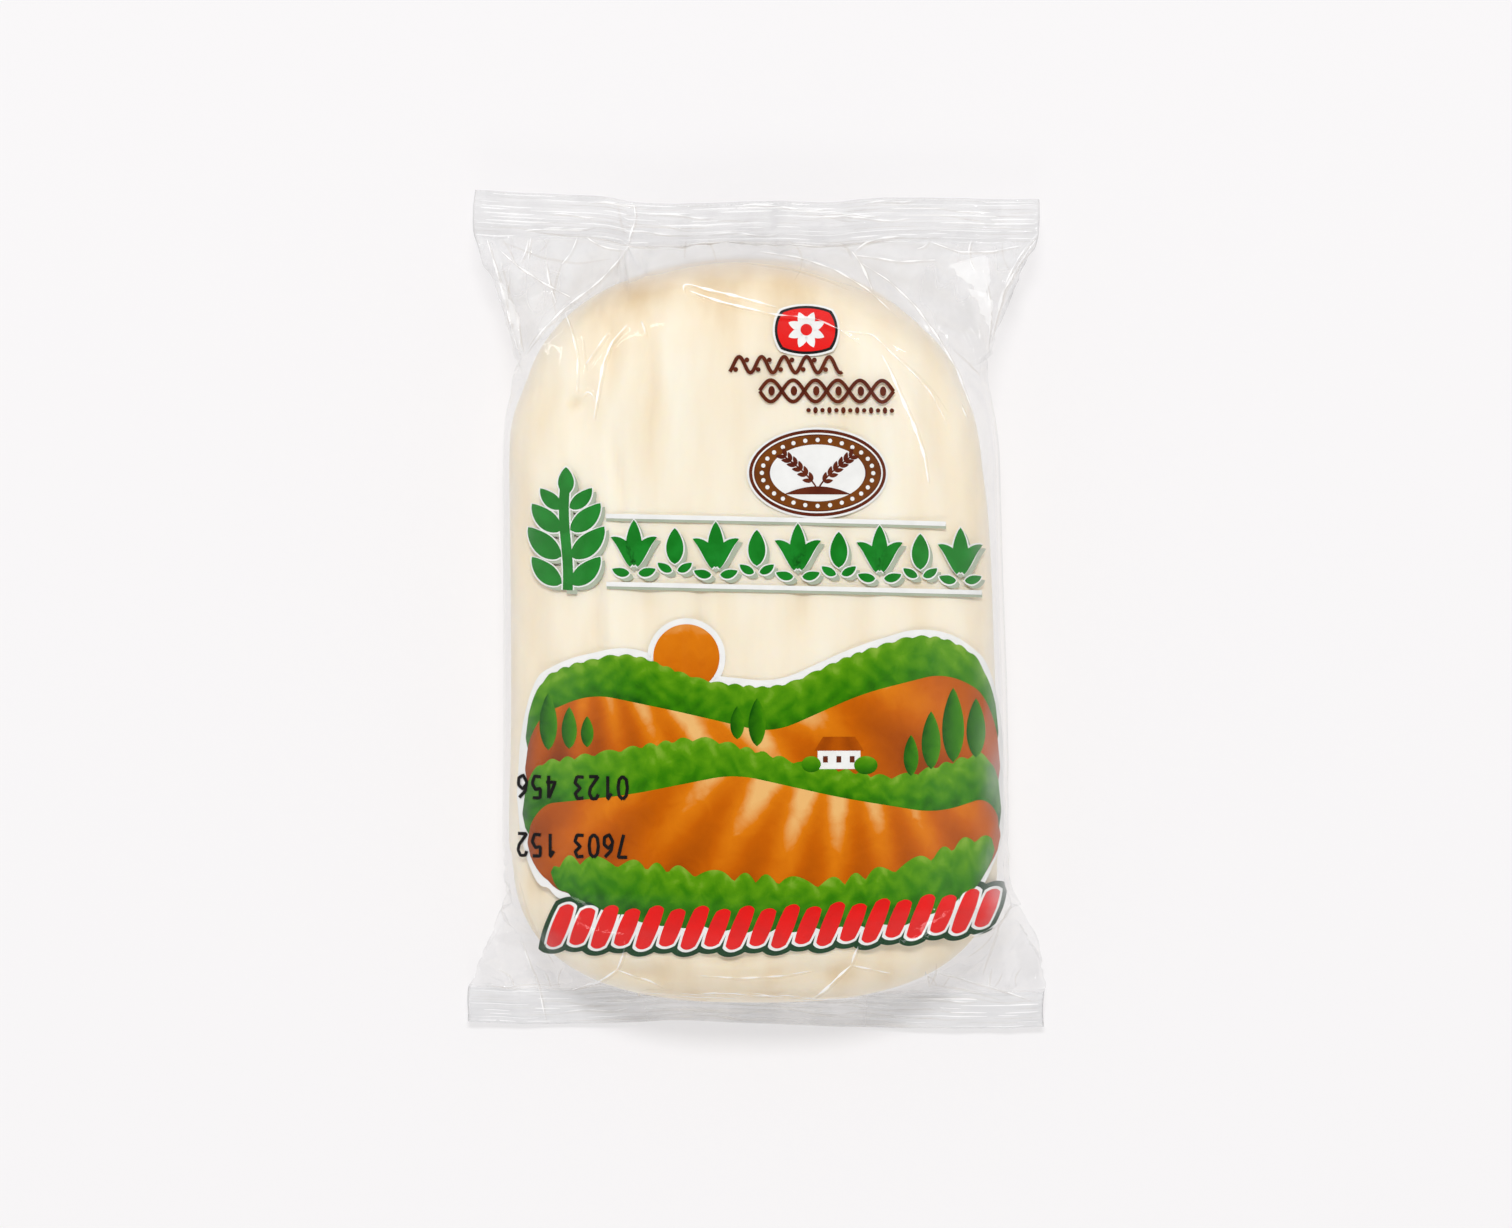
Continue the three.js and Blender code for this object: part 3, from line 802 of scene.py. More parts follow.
fin_haze = np.where(film_y > 0, 0.13, 0.12 + 0.3 * np.clip((np.abs(film_x) - 16) / 14, 0, 1))
haze_value = 0.06 * (1 - np.exp(-gap_to_loaf / 2.5)) + fin_haze * in_fin + veil_and_sheen * (1 - in_fin)
# painted shade: facets that lean away from the light are tinted darker, and so is a band across the loaf's
# upper end, partly the slack that is folded double there and partly painted shade on that end
slack_edge = 61 + 1.6 * np.sin(film_x / 5.7) + 0.9 * np.sin(film_x / 2.3 + 1) + 0.05 * np.abs(film_x)
tint_value = 0.04 * np.clip((film_y - slack_edge) / 1.8, 0, 1) * (1 - in_fin) * bell(film_x / 34, 1)
tint_value += 0.035 * in_fin * (film_y > 0)
tint_value[:, : FRONT + 1] += 0.045 * np.clip(0.35 + 0.5 * facets, 0, 1) * loose
bag = shape(
    "film_bag",
    film.reshape(-1, 3),
    walls + hems,
    film_paint,
    haze=haze_value.reshape(-1),
    tint=(tint_value * printed_side).reshape(-1),
)
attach(bag, "root")
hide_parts("pack")

# ---------------------------------------------------------------- seam on the back
# The tube's two long edges are sealed to each other in a narrow band, which is folded over and lies flat
# under the pack. It is the same clear film, three layers thick.

SEAM_HALF_WIDTH = 4.5
behind_middle = film[:, FRONT + BEHIND // 2]
seam_steps = 150
steps_at = np.linspace(0, len(behind_middle) - 1, seam_steps)
rows_behind = np.arange(len(behind_middle))
seam_y, seam_z = (np.interp(steps_at, rows_behind, behind_middle[:, axis]) for axis in (1, 2))
y, t = seam_y[:, None] + np.zeros(9), np.linspace(-1, 1, 9)[None, :] + np.zeros((seam_steps, 1))
x = -0.6 + t * SEAM_HALF_WIDTH + 0.25 * np.sin(y / 9)
crimp = np.cos(y * 2 * np.pi / RIB_PITCH)
top_face = seam_z[:, None] - 0.06 - 0.02 * crimp
under_face = np.maximum(seam_z[:, None] - 0.3 - 0.03 * crimp, 0.0)
loop = np.concatenate([np.stack([x, y, under_face], -1)[:, ::-1], np.stack([x, y, top_face], -1)], 1)
band_end = np.array([(j, j + 1, 16 - j, 17 - j) for j in range(8)])
band_faces = grid_faces(seam_steps, 18, wrap=True).tolist() + band_end[:, ::-1].tolist()
band_faces += (band_end + (seam_steps - 1) * 18).tolist()
seam_paint = film_paint.copy()  # pressed together, its layers reflect little between them
seam_paint.name = "film_seam"
for node in seam_paint.node_tree.nodes:
    if node.type == "MATH" and node.operation == "MULTIPLY":
        node.inputs[1].default_value = 0.05
    if node.type == "MATH" and node.operation == "SUBTRACT":
        node.inputs[0].default_value = 0.995
band_points = loop.reshape(-1, 3)
band_haze = np.full(len(band_points), 0.008)
seam = shape("back_seam", band_points, band_faces, seam_paint, smooth=False, haze=band_haze)
seam.visible_shadow = False
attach(seam, "root")

# ---------------------------------------------------------------- fold lines of the film
# Painted highlights and painted shade along the folds: where a fold was creased hard, a thread of white film
# on its ridge stands for the light it catches, and beside it a thread that tints what lies behind a little
# darker stands for the fold's shaded side, where the film is doubled. They are laid on the film's upper face
# along the folds above.

front_grid, front_normals = film[:, : FRONT + 1], grid_normals(film)[:, : FRONT + 1]


def read_front(row, column, grid=front_grid):
    """The film's upper face between its grid points, each place weighing its four neighbours."""
    row = np.clip(row, 0, grid.shape[0] - 1.001)
    column = np.clip(column, 0, FRONT - 0.001)
    i, j = row.astype(int), column.astype(int)
    a, b = (row - i)[..., None], (column - j)[..., None]
    near = grid[i, j] * (1 - b) + grid[i, j + 1] * b
    far = grid[i + 1, j] * (1 - b) + grid[i + 1, j + 1] * b
    return near * (1 - a) + far * a


def on_film(x, y):
    """The points of the film's upper face straight above plan positions, and its normals there, found by
    correcting a first guess of row and column by how far it misses, over and over."""
    row = np.interp(y, front_grid[:, FRONT // 2, 1], np.arange(front_grid.shape[0]))
    column = (x + 52) / 104 * FRONT
    for _ in range(14):
        here = read_front(row, column)
        wide = read_front(row, column + 1)[..., 0] - read_front(row, column - 1)[..., 0]
        tall = read_front(row + 1, column)[..., 1] - read_front(row - 1, column)[..., 1]
        column = column + np.clip((x - here[..., 0]) * 2 / np.maximum(wide, 0.15), -8, 8)
        row = row + np.clip((y - here[..., 1]) * 2 / np.maximum(tall, 0.3), -6, 6)
    return read_front(row, column), read_front(row, column, front_normals)


def ink(name, patches, depth, paint, tones=(), shadow=True):
    """Lays patches, given by their x and y seen from above, that deep under the film's upper face."""
    points, faces, first = [], [], 0
    for x, y in patches:
        across = np.diff(x, axis=1)[:-1] * np.diff(y, axis=0)[:, :-1]
        down = np.diff(y, axis=1)[:-1] * np.diff(x, axis=0)[:, :-1]
        if np.sum(across - down) < 0:  # turned so that it faces up
            x, y = x[::-1], y[::-1]
        place, normal = on_film(x, y)
        points.append((place - normal * depth).reshape(-1, 3))
        faces.append(grid_faces(*x.shape, first=first))
        first += x.size
    layers = {"tone": np.concatenate([tone.reshape(-1) for tone in tones])} if tones else {}
    made = shape(name, np.concatenate(points), np.concatenate(faces).tolist(), paint, **layers)
    made.visible_shadow = shadow
    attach(made, "root")


def stroke(x, y, width, lanes=4):
    """A line of that width along a path: its points are moved to both sides, square to the path."""
    x, y = np.asarray(x, float), np.asarray(y, float)
    dx, dy = np.gradient(x), np.gradient(y)
    length = np.maximum(np.hypot(dx, dy), 1e-9)
    offset = np.linspace(-0.5, 0.5, lanes)[None, :] * np.broadcast_to(width, x.shape)[:, None]
    return x[:, None] - offset * (dy / length)[:, None], y[:, None] + offset * (dx / length)[:, None]


def painted_light_film(name, behind, colour, share):
    """Film that tints what lies behind it and covers a share of it with a colour."""
    paint, tree = new_paint(name)
    through = shader(tree, "BsdfTransparent", {"Color": (*behind, 1)})
    painted_cover = shader(tree, "BsdfDiffuse", {"Color": (*colour, 1)})
    make_surface(tree, shader(tree, "MixShader", {"Fac": share, 1: through, 2: painted_cover}))
    return paint


ridge_highlights, sharp_highlights, shaded_sides = [], [], []
for height, path in folds:
    knots, along_path = evenly(path, 0.45)
    x, y = knots.T.copy()
    for _ in range(4):
        x[1:-1], y[1:-1] = (x[:-2] + 2 * x[1:-1] + x[2:]) / 4, (y[:-2] + 2 * y[1:-1] + y[2:]) / 4
    taper = np.sin(np.pi * np.linspace(0.02, 0.98, len(x))) ** 0.6
    beat = np.clip(0.6 + 0.6 * np.sin(along_path * 1.3 + 7 * path[0, 0]), 0.1, 1)
    width = (0.09 + 0.75 * abs(height)) * taper
    hard = height >= 0.5
    ridge = stroke(x, y, width * (np.maximum(beat, 0.45) if hard else beat), 3)
    shaded_side = stroke(x + 0.3, y - 0.3, 1.5 * width, 3)
    found, _ = on_film(x, y)
    if np.hypot(found[..., 0] - x, found[..., 1] - y).max() < 0.15:  # not where the film hides the fold
        if height > 0:
            (sharp_highlights if hard else ridge_highlights).append(ridge)
        shaded_sides.append(shaded_side)
# the crimps, as short runs of painted highlight and painted shade lines along both fins
chance = np.random.default_rng(5)
for end, fin in ((1, FIN_TOP), (-1, FIN_FOOT)):
    for from_cut in np.arange(0.5, fin, RIB_PITCH / 2):
        row = np.interp(end * (half_cut - from_cut), row_place, np.arange(len(row_place)))
        for start in np.arange(3, FRONT - 14, 22):
            first = start + chance.uniform(-7, 7)
            columns = np.linspace(max(first, 1), min(first + chance.uniform(8, 30), FRONT - 2), 24)
            place = read_front(np.full(24, row), columns)
            width = chance.uniform(0.06, 0.24) * np.sin(np.pi * np.linspace(0.02, 0.98, 24)) ** 0.5
            run = stroke(place[:, 0], place[:, 1] + chance.normal(0, 0.08), width, 3)
            (ridge_highlights if chance.uniform() < 0.5 else shaded_sides).append(run)
highlight_paint = painted_light_film("film_painted_highlight", (1, 1, 1), (0.97, 0.97, 0.97), 0.62)
shade_paint = painted_light_film("film_painted_shade", (0.965, 0.953, 0.935), (0.9, 0.9, 0.9), 0.02)
glinting = painted_light_film("film_glint", (1, 1, 1), (0.97, 0.97, 0.97), 0.33)
bright_highlight_paint = painted_light_film("film_painted_bright_highlight", (1, 1, 1), (1, 1, 1), 0.82)
ink("fold_ridge_highlights", ridge_highlights, -0.08, highlight_paint, shadow=False)
ink("sharp_fold_highlights", sharp_highlights, -0.1, bright_highlight_paint, shadow=False)
ink("fold_painted_shade", shaded_sides, -0.05, shade_paint, shadow=False)

# painted glints, as flat facets that throw the light straight back: two in the right ear by the top fin, one
# in the left
FACETS = (
    (
        ((36.4, 65.2), (38.4, 63.2), (40.8, 60.9), (42.2, 59.3)),
        ((43.3, 67.3), (44.3, 65.2), (44.1, 62.0), (43.1, 59.2)),
    ),
    (
        ((40.0, 60.6), (41.6, 58.0), (42.6, 56.0), (43.5, 53.6)),
        ((43.6, 59.9), (44.6, 58.0), (44.5, 55.8), (43.9, 53.6)),
    ),
    (
        ((-49.8, 62.7), (-48.0, 58.2), (-46.2, 53.4), (-44.7, 48.8)),
        ((-47.9, 61.9), (-45.9, 58.0), (-44.2, 54.0), (-44.4, 48.8)),
    ),
)
v = np.linspace(0, 1, 14)
across = np.linspace(0, 1, 6)[None, :]
glints = []
for left, right in FACETS:
    ragged = 0.3 * np.sin(v * 19 + left[0][0]) * np.sin(v * 7)
    sides = [
        [(np.interp(v, np.linspace(0, 1, 4), np.array(side)[:, axis]) + ragged)[:, None] for axis in (0, 1)]
        for side in (left, right)
    ]
    glints.append(tuple(sides[0][axis] * (1 - across) + sides[1][axis] * across for axis in (0, 1)))
ink("facet_glints", glints, -0.12, glinting, shadow=False)

# ---------------------------------------------------------------- printed rules and leaf border
# Ink on the film's inner face. Two white rules cross the pack and hold a border of green leaves between them,
# with a taller spray at its left end. Each green shape has a thin white edge and a grey-green shadow below it
# to the right.

INK_BODY = {"Roughness": 0.5, "Specular IOR Level": 0.1}  # it lies against the film, which has the gloss
INK_GRAIN = 260  # so many waves of its density in a metre


def ink_paint(name, colour, second):
    """Opaque ink that varies a little in density, between its colour and a second one."""
    paint, tree = new_paint(name, empty=False)
    place = shader(tree, "TexCoord", {}, "Object")
    density = shader(tree, "TexNoise", {"Vector": place, "Scale": INK_GRAIN, "Detail": 3})
    blend = colour_scale(tree, density, ((0.35, second), (0.6, colour)))
    feed(tree, tree.nodes["Principled BSDF"], {"Base Color": blend, **INK_BODY})
    return paint


def leaf(x, y, bearing, length, width, bend=0.0, grow=0.0):
    """A leaf from its stem: the midrib is an arc, and the width swells and closes as a power of a sine."""
    s = np.linspace(0, 1, 15)
    turn = math.radians(bearing) + bend * (s - 0.5)
    reach = length + 2 * grow
    run_x, run_y = np.cumsum(np.cos(turn)) / len(s) * reach, np.cumsum(np.sin(turn)) / len(s) * reach
    back = math.radians(bearing)
    swell = np.sin(np.pi * s**0.85) ** 0.75
    grown = (width + 2 * grow) * swell + 0.02
    return stroke(x + run_x - grow * math.cos(back), y + run_y - grow * math.sin(back), grown, 5)


def disc(x, y, half_width, half_height, steps=15, slant=0.0, square=0.5):
    """A filled oval as a bent grid: u and v run from -1 to 1, each shorter where the other is long."""
    u, v = np.meshgrid(np.linspace(-1, 1, steps), np.linspace(-1, 1, steps))
    dx = u * np.sqrt(1 - square * v * v) * half_width
    dy = v * np.sqrt(1 - square * u * u) * half_height
    return x + dx + slant * dy, y + dy


def ring(x, y, half_width, half_height, thickness, steps=72):
    """A band round an oval."""
    turn = np.linspace(0, 2 * np.pi, steps)
    out = np.linspace(0, 1, 3)[None, :] * thickness
    return x + np.cos(turn)[:, None] * (half_width - out), y + np.sin(turn)[:, None] * (half_height - out)


def moved(patches, dx, dy):
    """The same patches, shifted."""
    return [(x + dx, y + dy) for x, y in patches]


green = ink_paint("ink_green", (0.006, 0.18, 0.012), (0.01, 0.23, 0.02))
white = ink_paint("ink_white", (0.85, 0.85, 0.83), (0.8, 0.8, 0.78))
grey = ink_paint("ink_shadow", (0.42, 0.47, 0.36), (0.38, 0.43, 0.33))
LEAN = -0.022  # the whole border slopes down to the right
STEMS_FROM, STEM_PITCH = -22.8, 7.65
RULES = ((-28.1, 35.6, 17.6), (-28.0, 42.6, 4.9))  # where each starts and ends, and its height at the left
RULE_WIDTH = 0.85


def border(grow):
    """The spray, and lilies and buds in turn, each shape made larger all round by that much."""
    shapes = []
    stem_y = np.linspace(3.8, 23, 12)
    shapes.append(stroke(-35.6 + 0.4 * np.sin(stem_y / 4), stem_y, 1.9 + 2 * grow))
    for height, size in ((4.8, 1.0), (9.8, 1.12), (14.8, 1.0), (19.0, 0.74)):
        shapes.append(leaf(-35.3, height, 40, 8.2 * size, 3.6 * size, 0.5, grow))
        shapes.append(leaf(-35.9, height, 140, 8.2 * size, 3.6 * size, -0.5, grow))
    shapes.append(leaf(-35.6, 21.2, 90, 5.6, 3.0, 0, grow))
    for n in range(9):
        x = STEMS_FROM + STEM_PITCH * n
        y = 6.2 + LEAN * (x + 28)
        if n % 2:
            shapes.append(leaf(x, y + 2.2, 90, 7.2, 3.2, 0, grow))
            for side in (-1, 1):
                shapes.append(leaf(x + 0.3 * side, y + 1.4, 90 - 62 * side, 3.3, 1.5, 0.5 * side, grow))
        else:
            shapes.append(leaf(x, y + 1.6, 90, 9.2, 3.0, 0, grow))
            for side in (-1, 1):
                shapes.append(leaf(x + 0.8 * side, y + 1.5, 90 - 30 * side, 7.6, 2.3, -1.3 * side, grow))
                shapes.append(leaf(x + 0.6 * side, y + 0.9, 90 - 78 * side, 3.6, 1.6, 0.6 * side, grow))
    return shapes


rules = []
for start, end, y in RULES:
    x = np.linspace(start, end, 80)
    rules.append(stroke(x, y + LEAN * (x + 28), RULE_WIDTH, 3))
ink("border_leaves", border(0.0), 0.05, green)
ink("border_edges", border(0.28), 0.11, white)
ink("border_rules", rules, 0.11, white)
ink("border_shadow", moved(border(0.05), 0.75, -0.75) + moved(rules, 0.1, -0.5), 0.16, grey)

# ---------------------------------------------------------------- printed flower emblem and scrollwork
# A small red oval with a black and a white edge and a white daisy in it, and under it three lines of brown
# scrollwork: a running wave, a two-strand plait and a row of beads.

red = ink_paint("ink_red", (0.78, 0.008, 0.006), (0.7, 0.01, 0.008))
black = ink_paint("ink_black", (0.008, 0.007, 0.007), (0.014, 0.012, 0.012))
brown = ink_paint("ink_brown", (0.1, 0.018, 0.008), (0.13, 0.026, 0.01))
EMBLEM = (9.4, 52.4)
petals = [leaf(EMBLEM[0], EMBLEM[1], 22.5 + 45 * n, 3.6, 1.7) for n in range(8)]
ink("emblem_field", [disc(*EMBLEM, 5.4, 4.1, 21, square=0.36)], 0.09, red)
ink("emblem_daisy", petals, 0.05, white)
ink("emblem_eye", [disc(*EMBLEM, 1.1, 1.1, 9)], 0.03, red)
ink("emblem_edge", [disc(*EMBLEM, 5.9, 4.6, 21, square=0.36)], 0.13, black)
ink("emblem_outer_edge", [disc(*EMBLEM, 6.3, 5.0, 21, square=0.36)], 0.17, white)

WAVE_LEVEL, PLAIT_LEVEL, BEADS_LEVEL = 45.8, 40.9, 37.3
SCROLL_LINE = 0.7
wave_x = np.linspace(-4.9, 16.1, 120)
scroll = [stroke(wave_x, WAVE_LEVEL + 1.5 * np.sin(wave_x * 2 * np.pi / 4.2), SCROLL_LINE, 4)]
for n in range(9):
    scroll.append(disc(-3.8 + 2.1 * n, WAVE_LEVEL + (-0.9 if n % 2 == 0 else 0.9), 0.45, 0.45, 9))
PLAIT_PITCH = 4.17
plait_x = np.linspace(0.7, 25.7, 150)
for side in (-1, 1):
    strand = PLAIT_LEVEL + side * 2.0 * np.sin(plait_x * np.pi / PLAIT_PITCH - 0.5)
    scroll.append(stroke(plait_x, strand, SCROLL_LINE, 4))
for n in range(6):
    scroll.append(disc(2.9 + PLAIT_PITCH * n, PLAIT_LEVEL, 0.6, 0.9, 9))
for n in range(13):
    scroll.append(disc(9.8 + 1.3 * n, BEADS_LEVEL, 0.42, 0.62 if n % 2 else 0.42, 7))
ink("scrollwork", scroll, 0.06, brown)

# ---------------------------------------------------------------- printed oval medallion
# A brown oval with cream rings and, on a pale field, two crossed sprigs over a small mound. Its inks are laid
# one over another, from the white edge at the back to the sprigs and beads in front.

chestnut = ink_paint("ink_chestnut", (0.19, 0.055, 0.008), (0.14, 0.038, 0.007))
MEDAL = (11.5, 25.6)
ink("medal_edge", [disc(*MEDAL, 13.2, 8.5, 31)], 0.17, white)
ink("medal_ground", [disc(*MEDAL, 12.8, 8.1, 31)], 0.14, brown)
ink("medal_ring", [ring(*MEDAL, 12.2, 7.5, 0.3), ring(*MEDAL, 8.9, 5.3, 0.35)], 0.08, white)
ink("medal_band", [ring(*MEDAL, 11.7, 7.0, 2.5)], 0.11, chestnut)
ink("medal_field", [disc(*MEDAL, 8.6, 5.0, 25)], 0.09, white)
sprigs = []
for side in (-1, 1):
    s = np.linspace(0, 1, 14)
    bough_x, bough_y = MEDAL[0] + side * 6.4 * s, MEDAL[1] - 3.4 + 6.6 * s**0.7
    sprigs.append(stroke(bough_x, bough_y, 0.3, 3))
    for n in range(2, 13, 2):
        for lift in (34, -30):
            sprigs.append(leaf(bough_x[n], bough_y[n], 90 - side * (48 + lift), 1.9, 0.8, 0.2))
u = np.linspace(-1, 1, 25)[:, None]
v = np.linspace(0, 1, 4)[None, :]
sprigs.append((MEDAL[0] + u * 6.3 + 0 * v, MEDAL[1] - 4.0 + v * (1.5 * (1 - u * u))))
beads = [
    disc(MEDAL[0] + 10.4 * math.cos(angle), MEDAL[1] + 6.15 * math.sin(angle), 0.4, 0.4, 5)
    for angle in np.arange(0, 6.28, 0.2244)
]
ink("medal_sprigs", sprigs, 0.05, brown)
ink("medal_beads", beads, 0.05, white)

# ---------------------------------------------------------------- printed landscape
# The large picture is a generic country scene: golden-brown ploughed hills between green ones, a low sun,
# pointed trees and a leafy hedge, cut out with a broad white edge. Its shading is worked out from each hill's
# own shape.


def toned_paint(name, stops, scale, amount):
    """Ink whose colour follows the tone worked out for each point, stirred a little by a fine noise."""
    paint, tree = new_paint(name, empty=False)
    place = shader(tree, "TexCoord", {}, "Object")
    grain = shader(tree, "TexNoise", {"Vector": place, "Scale": scale, "Detail": 4, "Distortion": 0.8})
    tone = shader(tree, "Attribute", {}, "Fac", attribute_name="tone")
    stir = reckon(tree, "MULTIPLY_ADD", grain, amount, reckon(tree, "SUBTRACT", tone, 0.5 * amount))
    feed(tree, tree.nodes["Principled BSDF"], {"Base Color": colour_scale(tree, stir, stops), **INK_BODY})
    return paint


GOLDS = (
    (0.0, (0.17, 0.026, 0.0)),
    (0.3, (0.37, 0.068, 0.0)),
    (0.6, (0.54, 0.115, 0.0)),
    (0.82, (0.68, 0.19, 0.003)),
    (1.0, (0.8, 0.46, 0.16)),
)
LEAF_GREENS = (
    (0.0, (0.004, 0.08, 0.0)),
    (0.35, (0.035, 0.2, 0.0)),
    (0.65, (0.1, 0.3, 0.003)),
    (1.0, (0.32, 0.5, 0.06)),
)
gold = toned_paint("ink_gold", GOLDS, 300, 0.22)
meadow = toned_paint("ink_meadow", LEAF_GREENS, 420, 0.4)


def line(*knots):
    """A curve through knots, rounded by averaging it over a few millimetres."""
    xs, ys = zip(*knots)
    return lambda x: sum(np.interp(x + step, xs, ys) for step in np.linspace(-4, 4, 9)) / 9


def leafy(curve, size, pitch):
    """The same curve with a scalloped edge, as of leaves."""
    return lambda x: curve(x) + size * np.abs(np.sin(x * np.pi / pitch + 0.7 * np.sin(x / 2.9)))


def band(left, right, low, high, grow=0.0, pitch=0.55):
    """The land between two curves, its ends rounded like a brush stroke's, and grown all round by so much."""
    x = np.linspace(left - grow, right + grow, int((right - left) / pitch))[:, None]
    bottom, top = low(x) - grow, high(x) + grow
    to_end = np.clip(np.minimum(x - left + grow, right + grow - x) / 5, 0, 1)
    cap = np.sqrt(1 - (1 - to_end) ** 2) * 0.97 + 0.03
    middle = top * 0.4 + bottom * 0.6
    bottom, top = middle + (bottom - middle) * cap, middle + (top - middle) * cap
    v = np.linspace(0, 1, max(int(np.max(top - bottom) / pitch), 3))[None, :]
    return x + 0 * v, bottom + (top - bottom) * v


def furrows(x, y, far_x, far_y, count, ridge, depth):
    """Tone of a ploughed slope: rows meet at a far point, and it darkens downwards from its ridge."""
    fan = np.arctan2(x - far_x, far_y - y)
    rows = np.sin(fan * count)
    down = (ridge(x) - y) / depth
    glow = 0.3 * bell((x - far_x * 0.3) / 20, 1)
    ends = 0.22 * bell((46 - np.abs(x)) / 9, 1)
    return 0.66 + 0.15 * rows - 0.46 * np.clip(down, 0, 1.3) + glow - ends


ridge_far = line(
    (-46, -17), (-37, -11), (-24, -8), (-10, -13.5), (4, -15), (18, -8.5), (31, -4.5), (40, -7), (47, -15)
)  # fmt: skip
top_gold_far = line((-46, -22), (-31, -15.5), (-14, -19), (3, -23), (20, -15.5), (36, -11.5), (47, -18))
ridge_middle = line((-46, -30), (-28, -27), (-10, -24), (8, -29), (26, -32), (47, -26))
top_gold_near = line((-46, -37), (-24, -34.5), (-4, -30.5), (16, -35), (34, -38), (47, -34))
hedge_top = line((-46, -47), (-26, -48), (-6, -50.5), (14, -52), (32, -47.5), (47, -41))
bottom = line((-46, -46), (-36, -53), (-20, -58), (0, -59.5), (28, -58.5), (41, -52), (47, -46))
# each band of land: its name, where it starts and ends, its lower and upper curve, and how deep it lies in
# the film
lands = (
    ("far_ridge", -43.4, 45.9, line((-46, -30), (47, -30)), leafy(ridge_far, 0.5, 2.9), 0.14),
    ("far_field", -43.5, 46.2, line((-46, -36), (47, -38)), top_gold_far, 0.125),
    ("middle_ridge", -44, 46.4, line((-46, -44), (47, -46)), leafy(ridge_middle, 0.9, 3.7), 0.11),
    ("near_field", -43, 46.2, leafy(bottom, -0.4, 5.0), top_gold_near, 0.095),
    ("hedge", -38.5, 45, leafy(bottom, -0.9, 5.0), leafy(hedge_top, 1.9, 5.3), 0.055),
)
# how two of them are ploughed: the rows' far point and number, their ridge, and the fall over which they
# darken
ploughed = {"far_field": (34, 14, 34, top_gold_far, 17), "near_field": (-14, -2, 30, top_gold_near, 22)}
for name, left, right, low, high, depth in lands:
    x, y = band(left, right, low, high)
    if name in ploughed:
        tone, paint, slot = furrows(x, y, *ploughed[name]), gold, "print_gold"
    else:
        leaves = 0.14 * np.sin(x * 1.15 + 1.6 * np.sin(y * 0.7)) * np.sin(y * 1.05 + 1.3 * np.sin(x * 0.45))
        lit = 0.34 * np.clip(1 - (high(x) - y) / 6, -0.6, 1)
        tone, paint, slot = 0.36 + leaves + lit, meadow, "print_leaf"
    ink("scene_" + name, [(x, y)], depth, paint, [tone])
SUN = (-13, -8.8)
EDGE = 1.15  # how far the white edge stands out all round
sun = disc(*SUN, 6.2, 6.2, 25)
ink("scene_sun", [sun], 0.155, gold, [0.86 - 0.022 * (-3 - sun[1])])

TREES = (
    (-39, -27, 11.5, 3.4), (-35, -26.5, 8.4, 2.9), (-31.6, -26, 6.2, 2.4), (-3.5, -24.5, 6.6, 2.6),
    (0.2, -26, 9.6, 3.2), (29, -31.5, 8.2, 2.8), (32.8, -30.5, 11.6, 3.6), (37, -29.5, 15, 4.2),
    (41.4, -28.5, 12, 3.7),
)  # fmt: skip
trees = [leaf(x, y, 90, tall, wide) for x, y, tall, wide in TREES]
tree_tones = [0.22 + 0.22 * np.linspace(1, -1, patch[0].shape[1])[None, :] + 0 * patch[0] for patch in trees]
ink("scene_trees", trees, 0.1, meadow, tree_tones)

# a plain farmhouse between the near and the far field, and a bush at each side of it
HOUSE = (11.5, -29.6)
walls_u, walls_v = np.meshgrid(np.linspace(0, 1, 7), np.linspace(0, 1, 5))
roof_u, roof_v = np.meshgrid(np.linspace(0, 1, 9), np.linspace(0, 1, 4))
ink("scene_house", [(HOUSE[0] + 8 * walls_u, HOUSE[1] + 3.6 * walls_v)], 0.085, white)
roof = (HOUSE[0] - 0.6 + 9.2 * roof_u + (4.6 - 9.2 * roof_u) * 0.35 * roof_v, HOUSE[1] + 3.4 + 2.6 * roof_v)
ink("scene_roof", [roof], 0.075, gold, [0.32 + 0.1 * np.sin(roof_u * 40)])
panes = [(HOUSE[0] + dx + 0.9 * walls_u, HOUSE[1] + 1.2 + 1.2 * walls_v) for dx in (1.0, 3.5, 6.0)]
ink("scene_windows", panes, 0.07, brown)
BUSHES = ((-1.2, 0.9, 1.8, 1.5), (9.0, 0.7, 2.2, 1.7))
bushes = [disc(HOUSE[0] + dx, HOUSE[1] + dy, wide, tall, 9) for dx, dy, wide, tall in BUSHES]
bush_tones = [0.45 + 0.2 * (patch[1] - HOUSE[1] - 1) for patch in bushes]
ink("scene_bushes", bushes, 0.065, meadow, bush_tones)


def skyline(x):
    """The higher of the far ridge and the far field."""
    return np.maximum(ridge_far(x) + 0.4, top_gold_far(x))


outer = band(-44, 46.4, leafy(bottom, -0.9, 5.0), skyline, EDGE)
tops = [leaf(x, y, 90, tall, wide, 0, 1.0) for x, y, tall, wide in TREES if x < -38 or 35 < x]
ink("scene_edge", [outer, disc(*SUN, 7.3, 7.3, 25), *tops], 0.19, white)

# ---------------------------------------------------------------- printed rope
# A twisted rope of red strands closes the picture below. Each strand has a white edge and a dark green one,
# on the film's inner face like the rest of the print.

forest = ink_paint("ink_forest", (0.004, 0.05, 0.012), (0.003, 0.04, 0.01))


STRAND_PITCH = 4.23


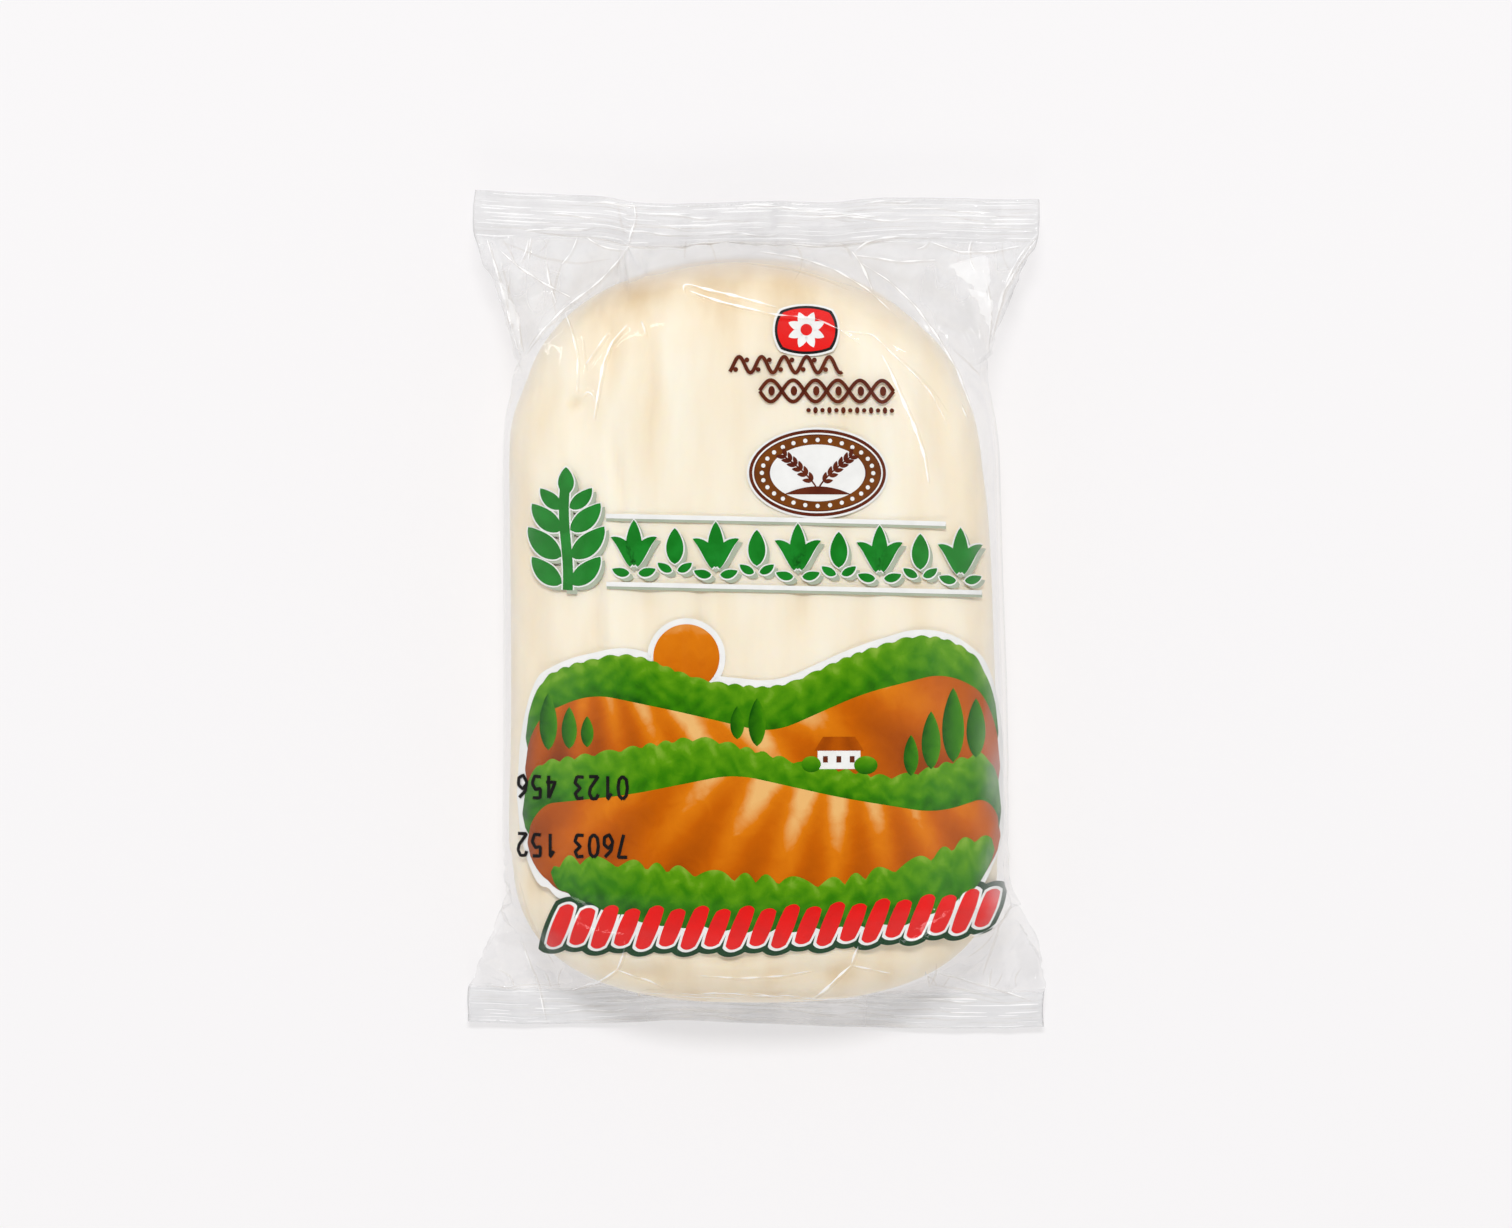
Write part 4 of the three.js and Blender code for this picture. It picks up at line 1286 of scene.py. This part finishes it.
def rope(grow):
    """Slanted strands side by side, in turn a little taller and a little shorter."""
    strands = []
    for n in range(20):
        x = -36.8 + STRAND_PITCH * n
        rise = -59.3 + 3.2 * max((x + 5) / 48, 0) ** 1.6
        tall = 4.2 if n % 2 == 0 else 3.6
        strands.append(disc(x, rise, 1.65 + grow, tall + grow, 13, slant=0.38, square=0.3))
    return strands


ink("rope_strands", rope(0.0), 0.03, red)
ink("rope_white_edge", rope(0.5), 0.065, white)
ink("rope_green_edge", rope(1.45), 0.1, forest)

# ---------------------------------------------------------------- stamped code
# Two lines of plain black figures, stamped upside down by the packing machine at the left. This ink lies on
# the film's outer face, over its wrinkles.

FIGURES = {
    "0": (
        (0.5, 1), (0.12, 0.85), (0, 0.5), (0.12, 0.15), (0.5, 0),
        (0.88, 0.15), (1, 0.5), (0.88, 0.85), (0.5, 1),
    ),
    "1": ((0.15, 0.75), (0.55, 1), (0.55, 0)),
    "2": ((0.02, 0.78), (0.2, 0.97), (0.7, 0.99), (0.98, 0.75), (0.85, 0.5), (0.02, 0.02), (1, 0.02)),
    "3": ((0.05, 0.95), (0.7, 0.99), (0.95, 0.76), (0.4, 0.53), (0.97, 0.3), (0.75, 0.03), (0.03, 0.05)),
    "4": ((0.72, 0), (0.72, 1), (0.0, 0.28), (1, 0.28)),
    "5": ((0.92, 0.98), (0.1, 0.98), (0.06, 0.56), (0.6, 0.62), (0.97, 0.35), (0.7, 0.03), (0.02, 0.06)),
    "6": (
        (0.85, 0.98), (0.2, 0.7), (0.02, 0.3), (0.4, 0.0), (0.9, 0.12), (0.95, 0.42), (0.5, 0.6), (0.08, 0.42)
    ),
    "7": ((0.02, 0.98), (0.98, 0.98), (0.4, 0)),
}  # fmt: skip
FIGURE_WIDE, FIGURE_TALL, FIGURE_STEP = 1.75, 4.3, 2.72
FIGURES_FROM = -24.0  # where both lines start, to run leftwards
strokes = []
for text, base in (("0123 456", -31.0), ("7603 152", -41.9)):
    for n, figure in enumerate(text):
        if figure == " ":
            continue
        knots = np.array(FIGURES[figure]) * (FIGURE_WIDE, FIGURE_TALL)
        points, _ = evenly(knots, np.inf, 28)
        strokes.append(stroke(FIGURES_FROM - FIGURE_STEP * n - points[:, 0], base - points[:, 1], 0.62, 3))
ink("stamped_code", strokes, -0.04, black)
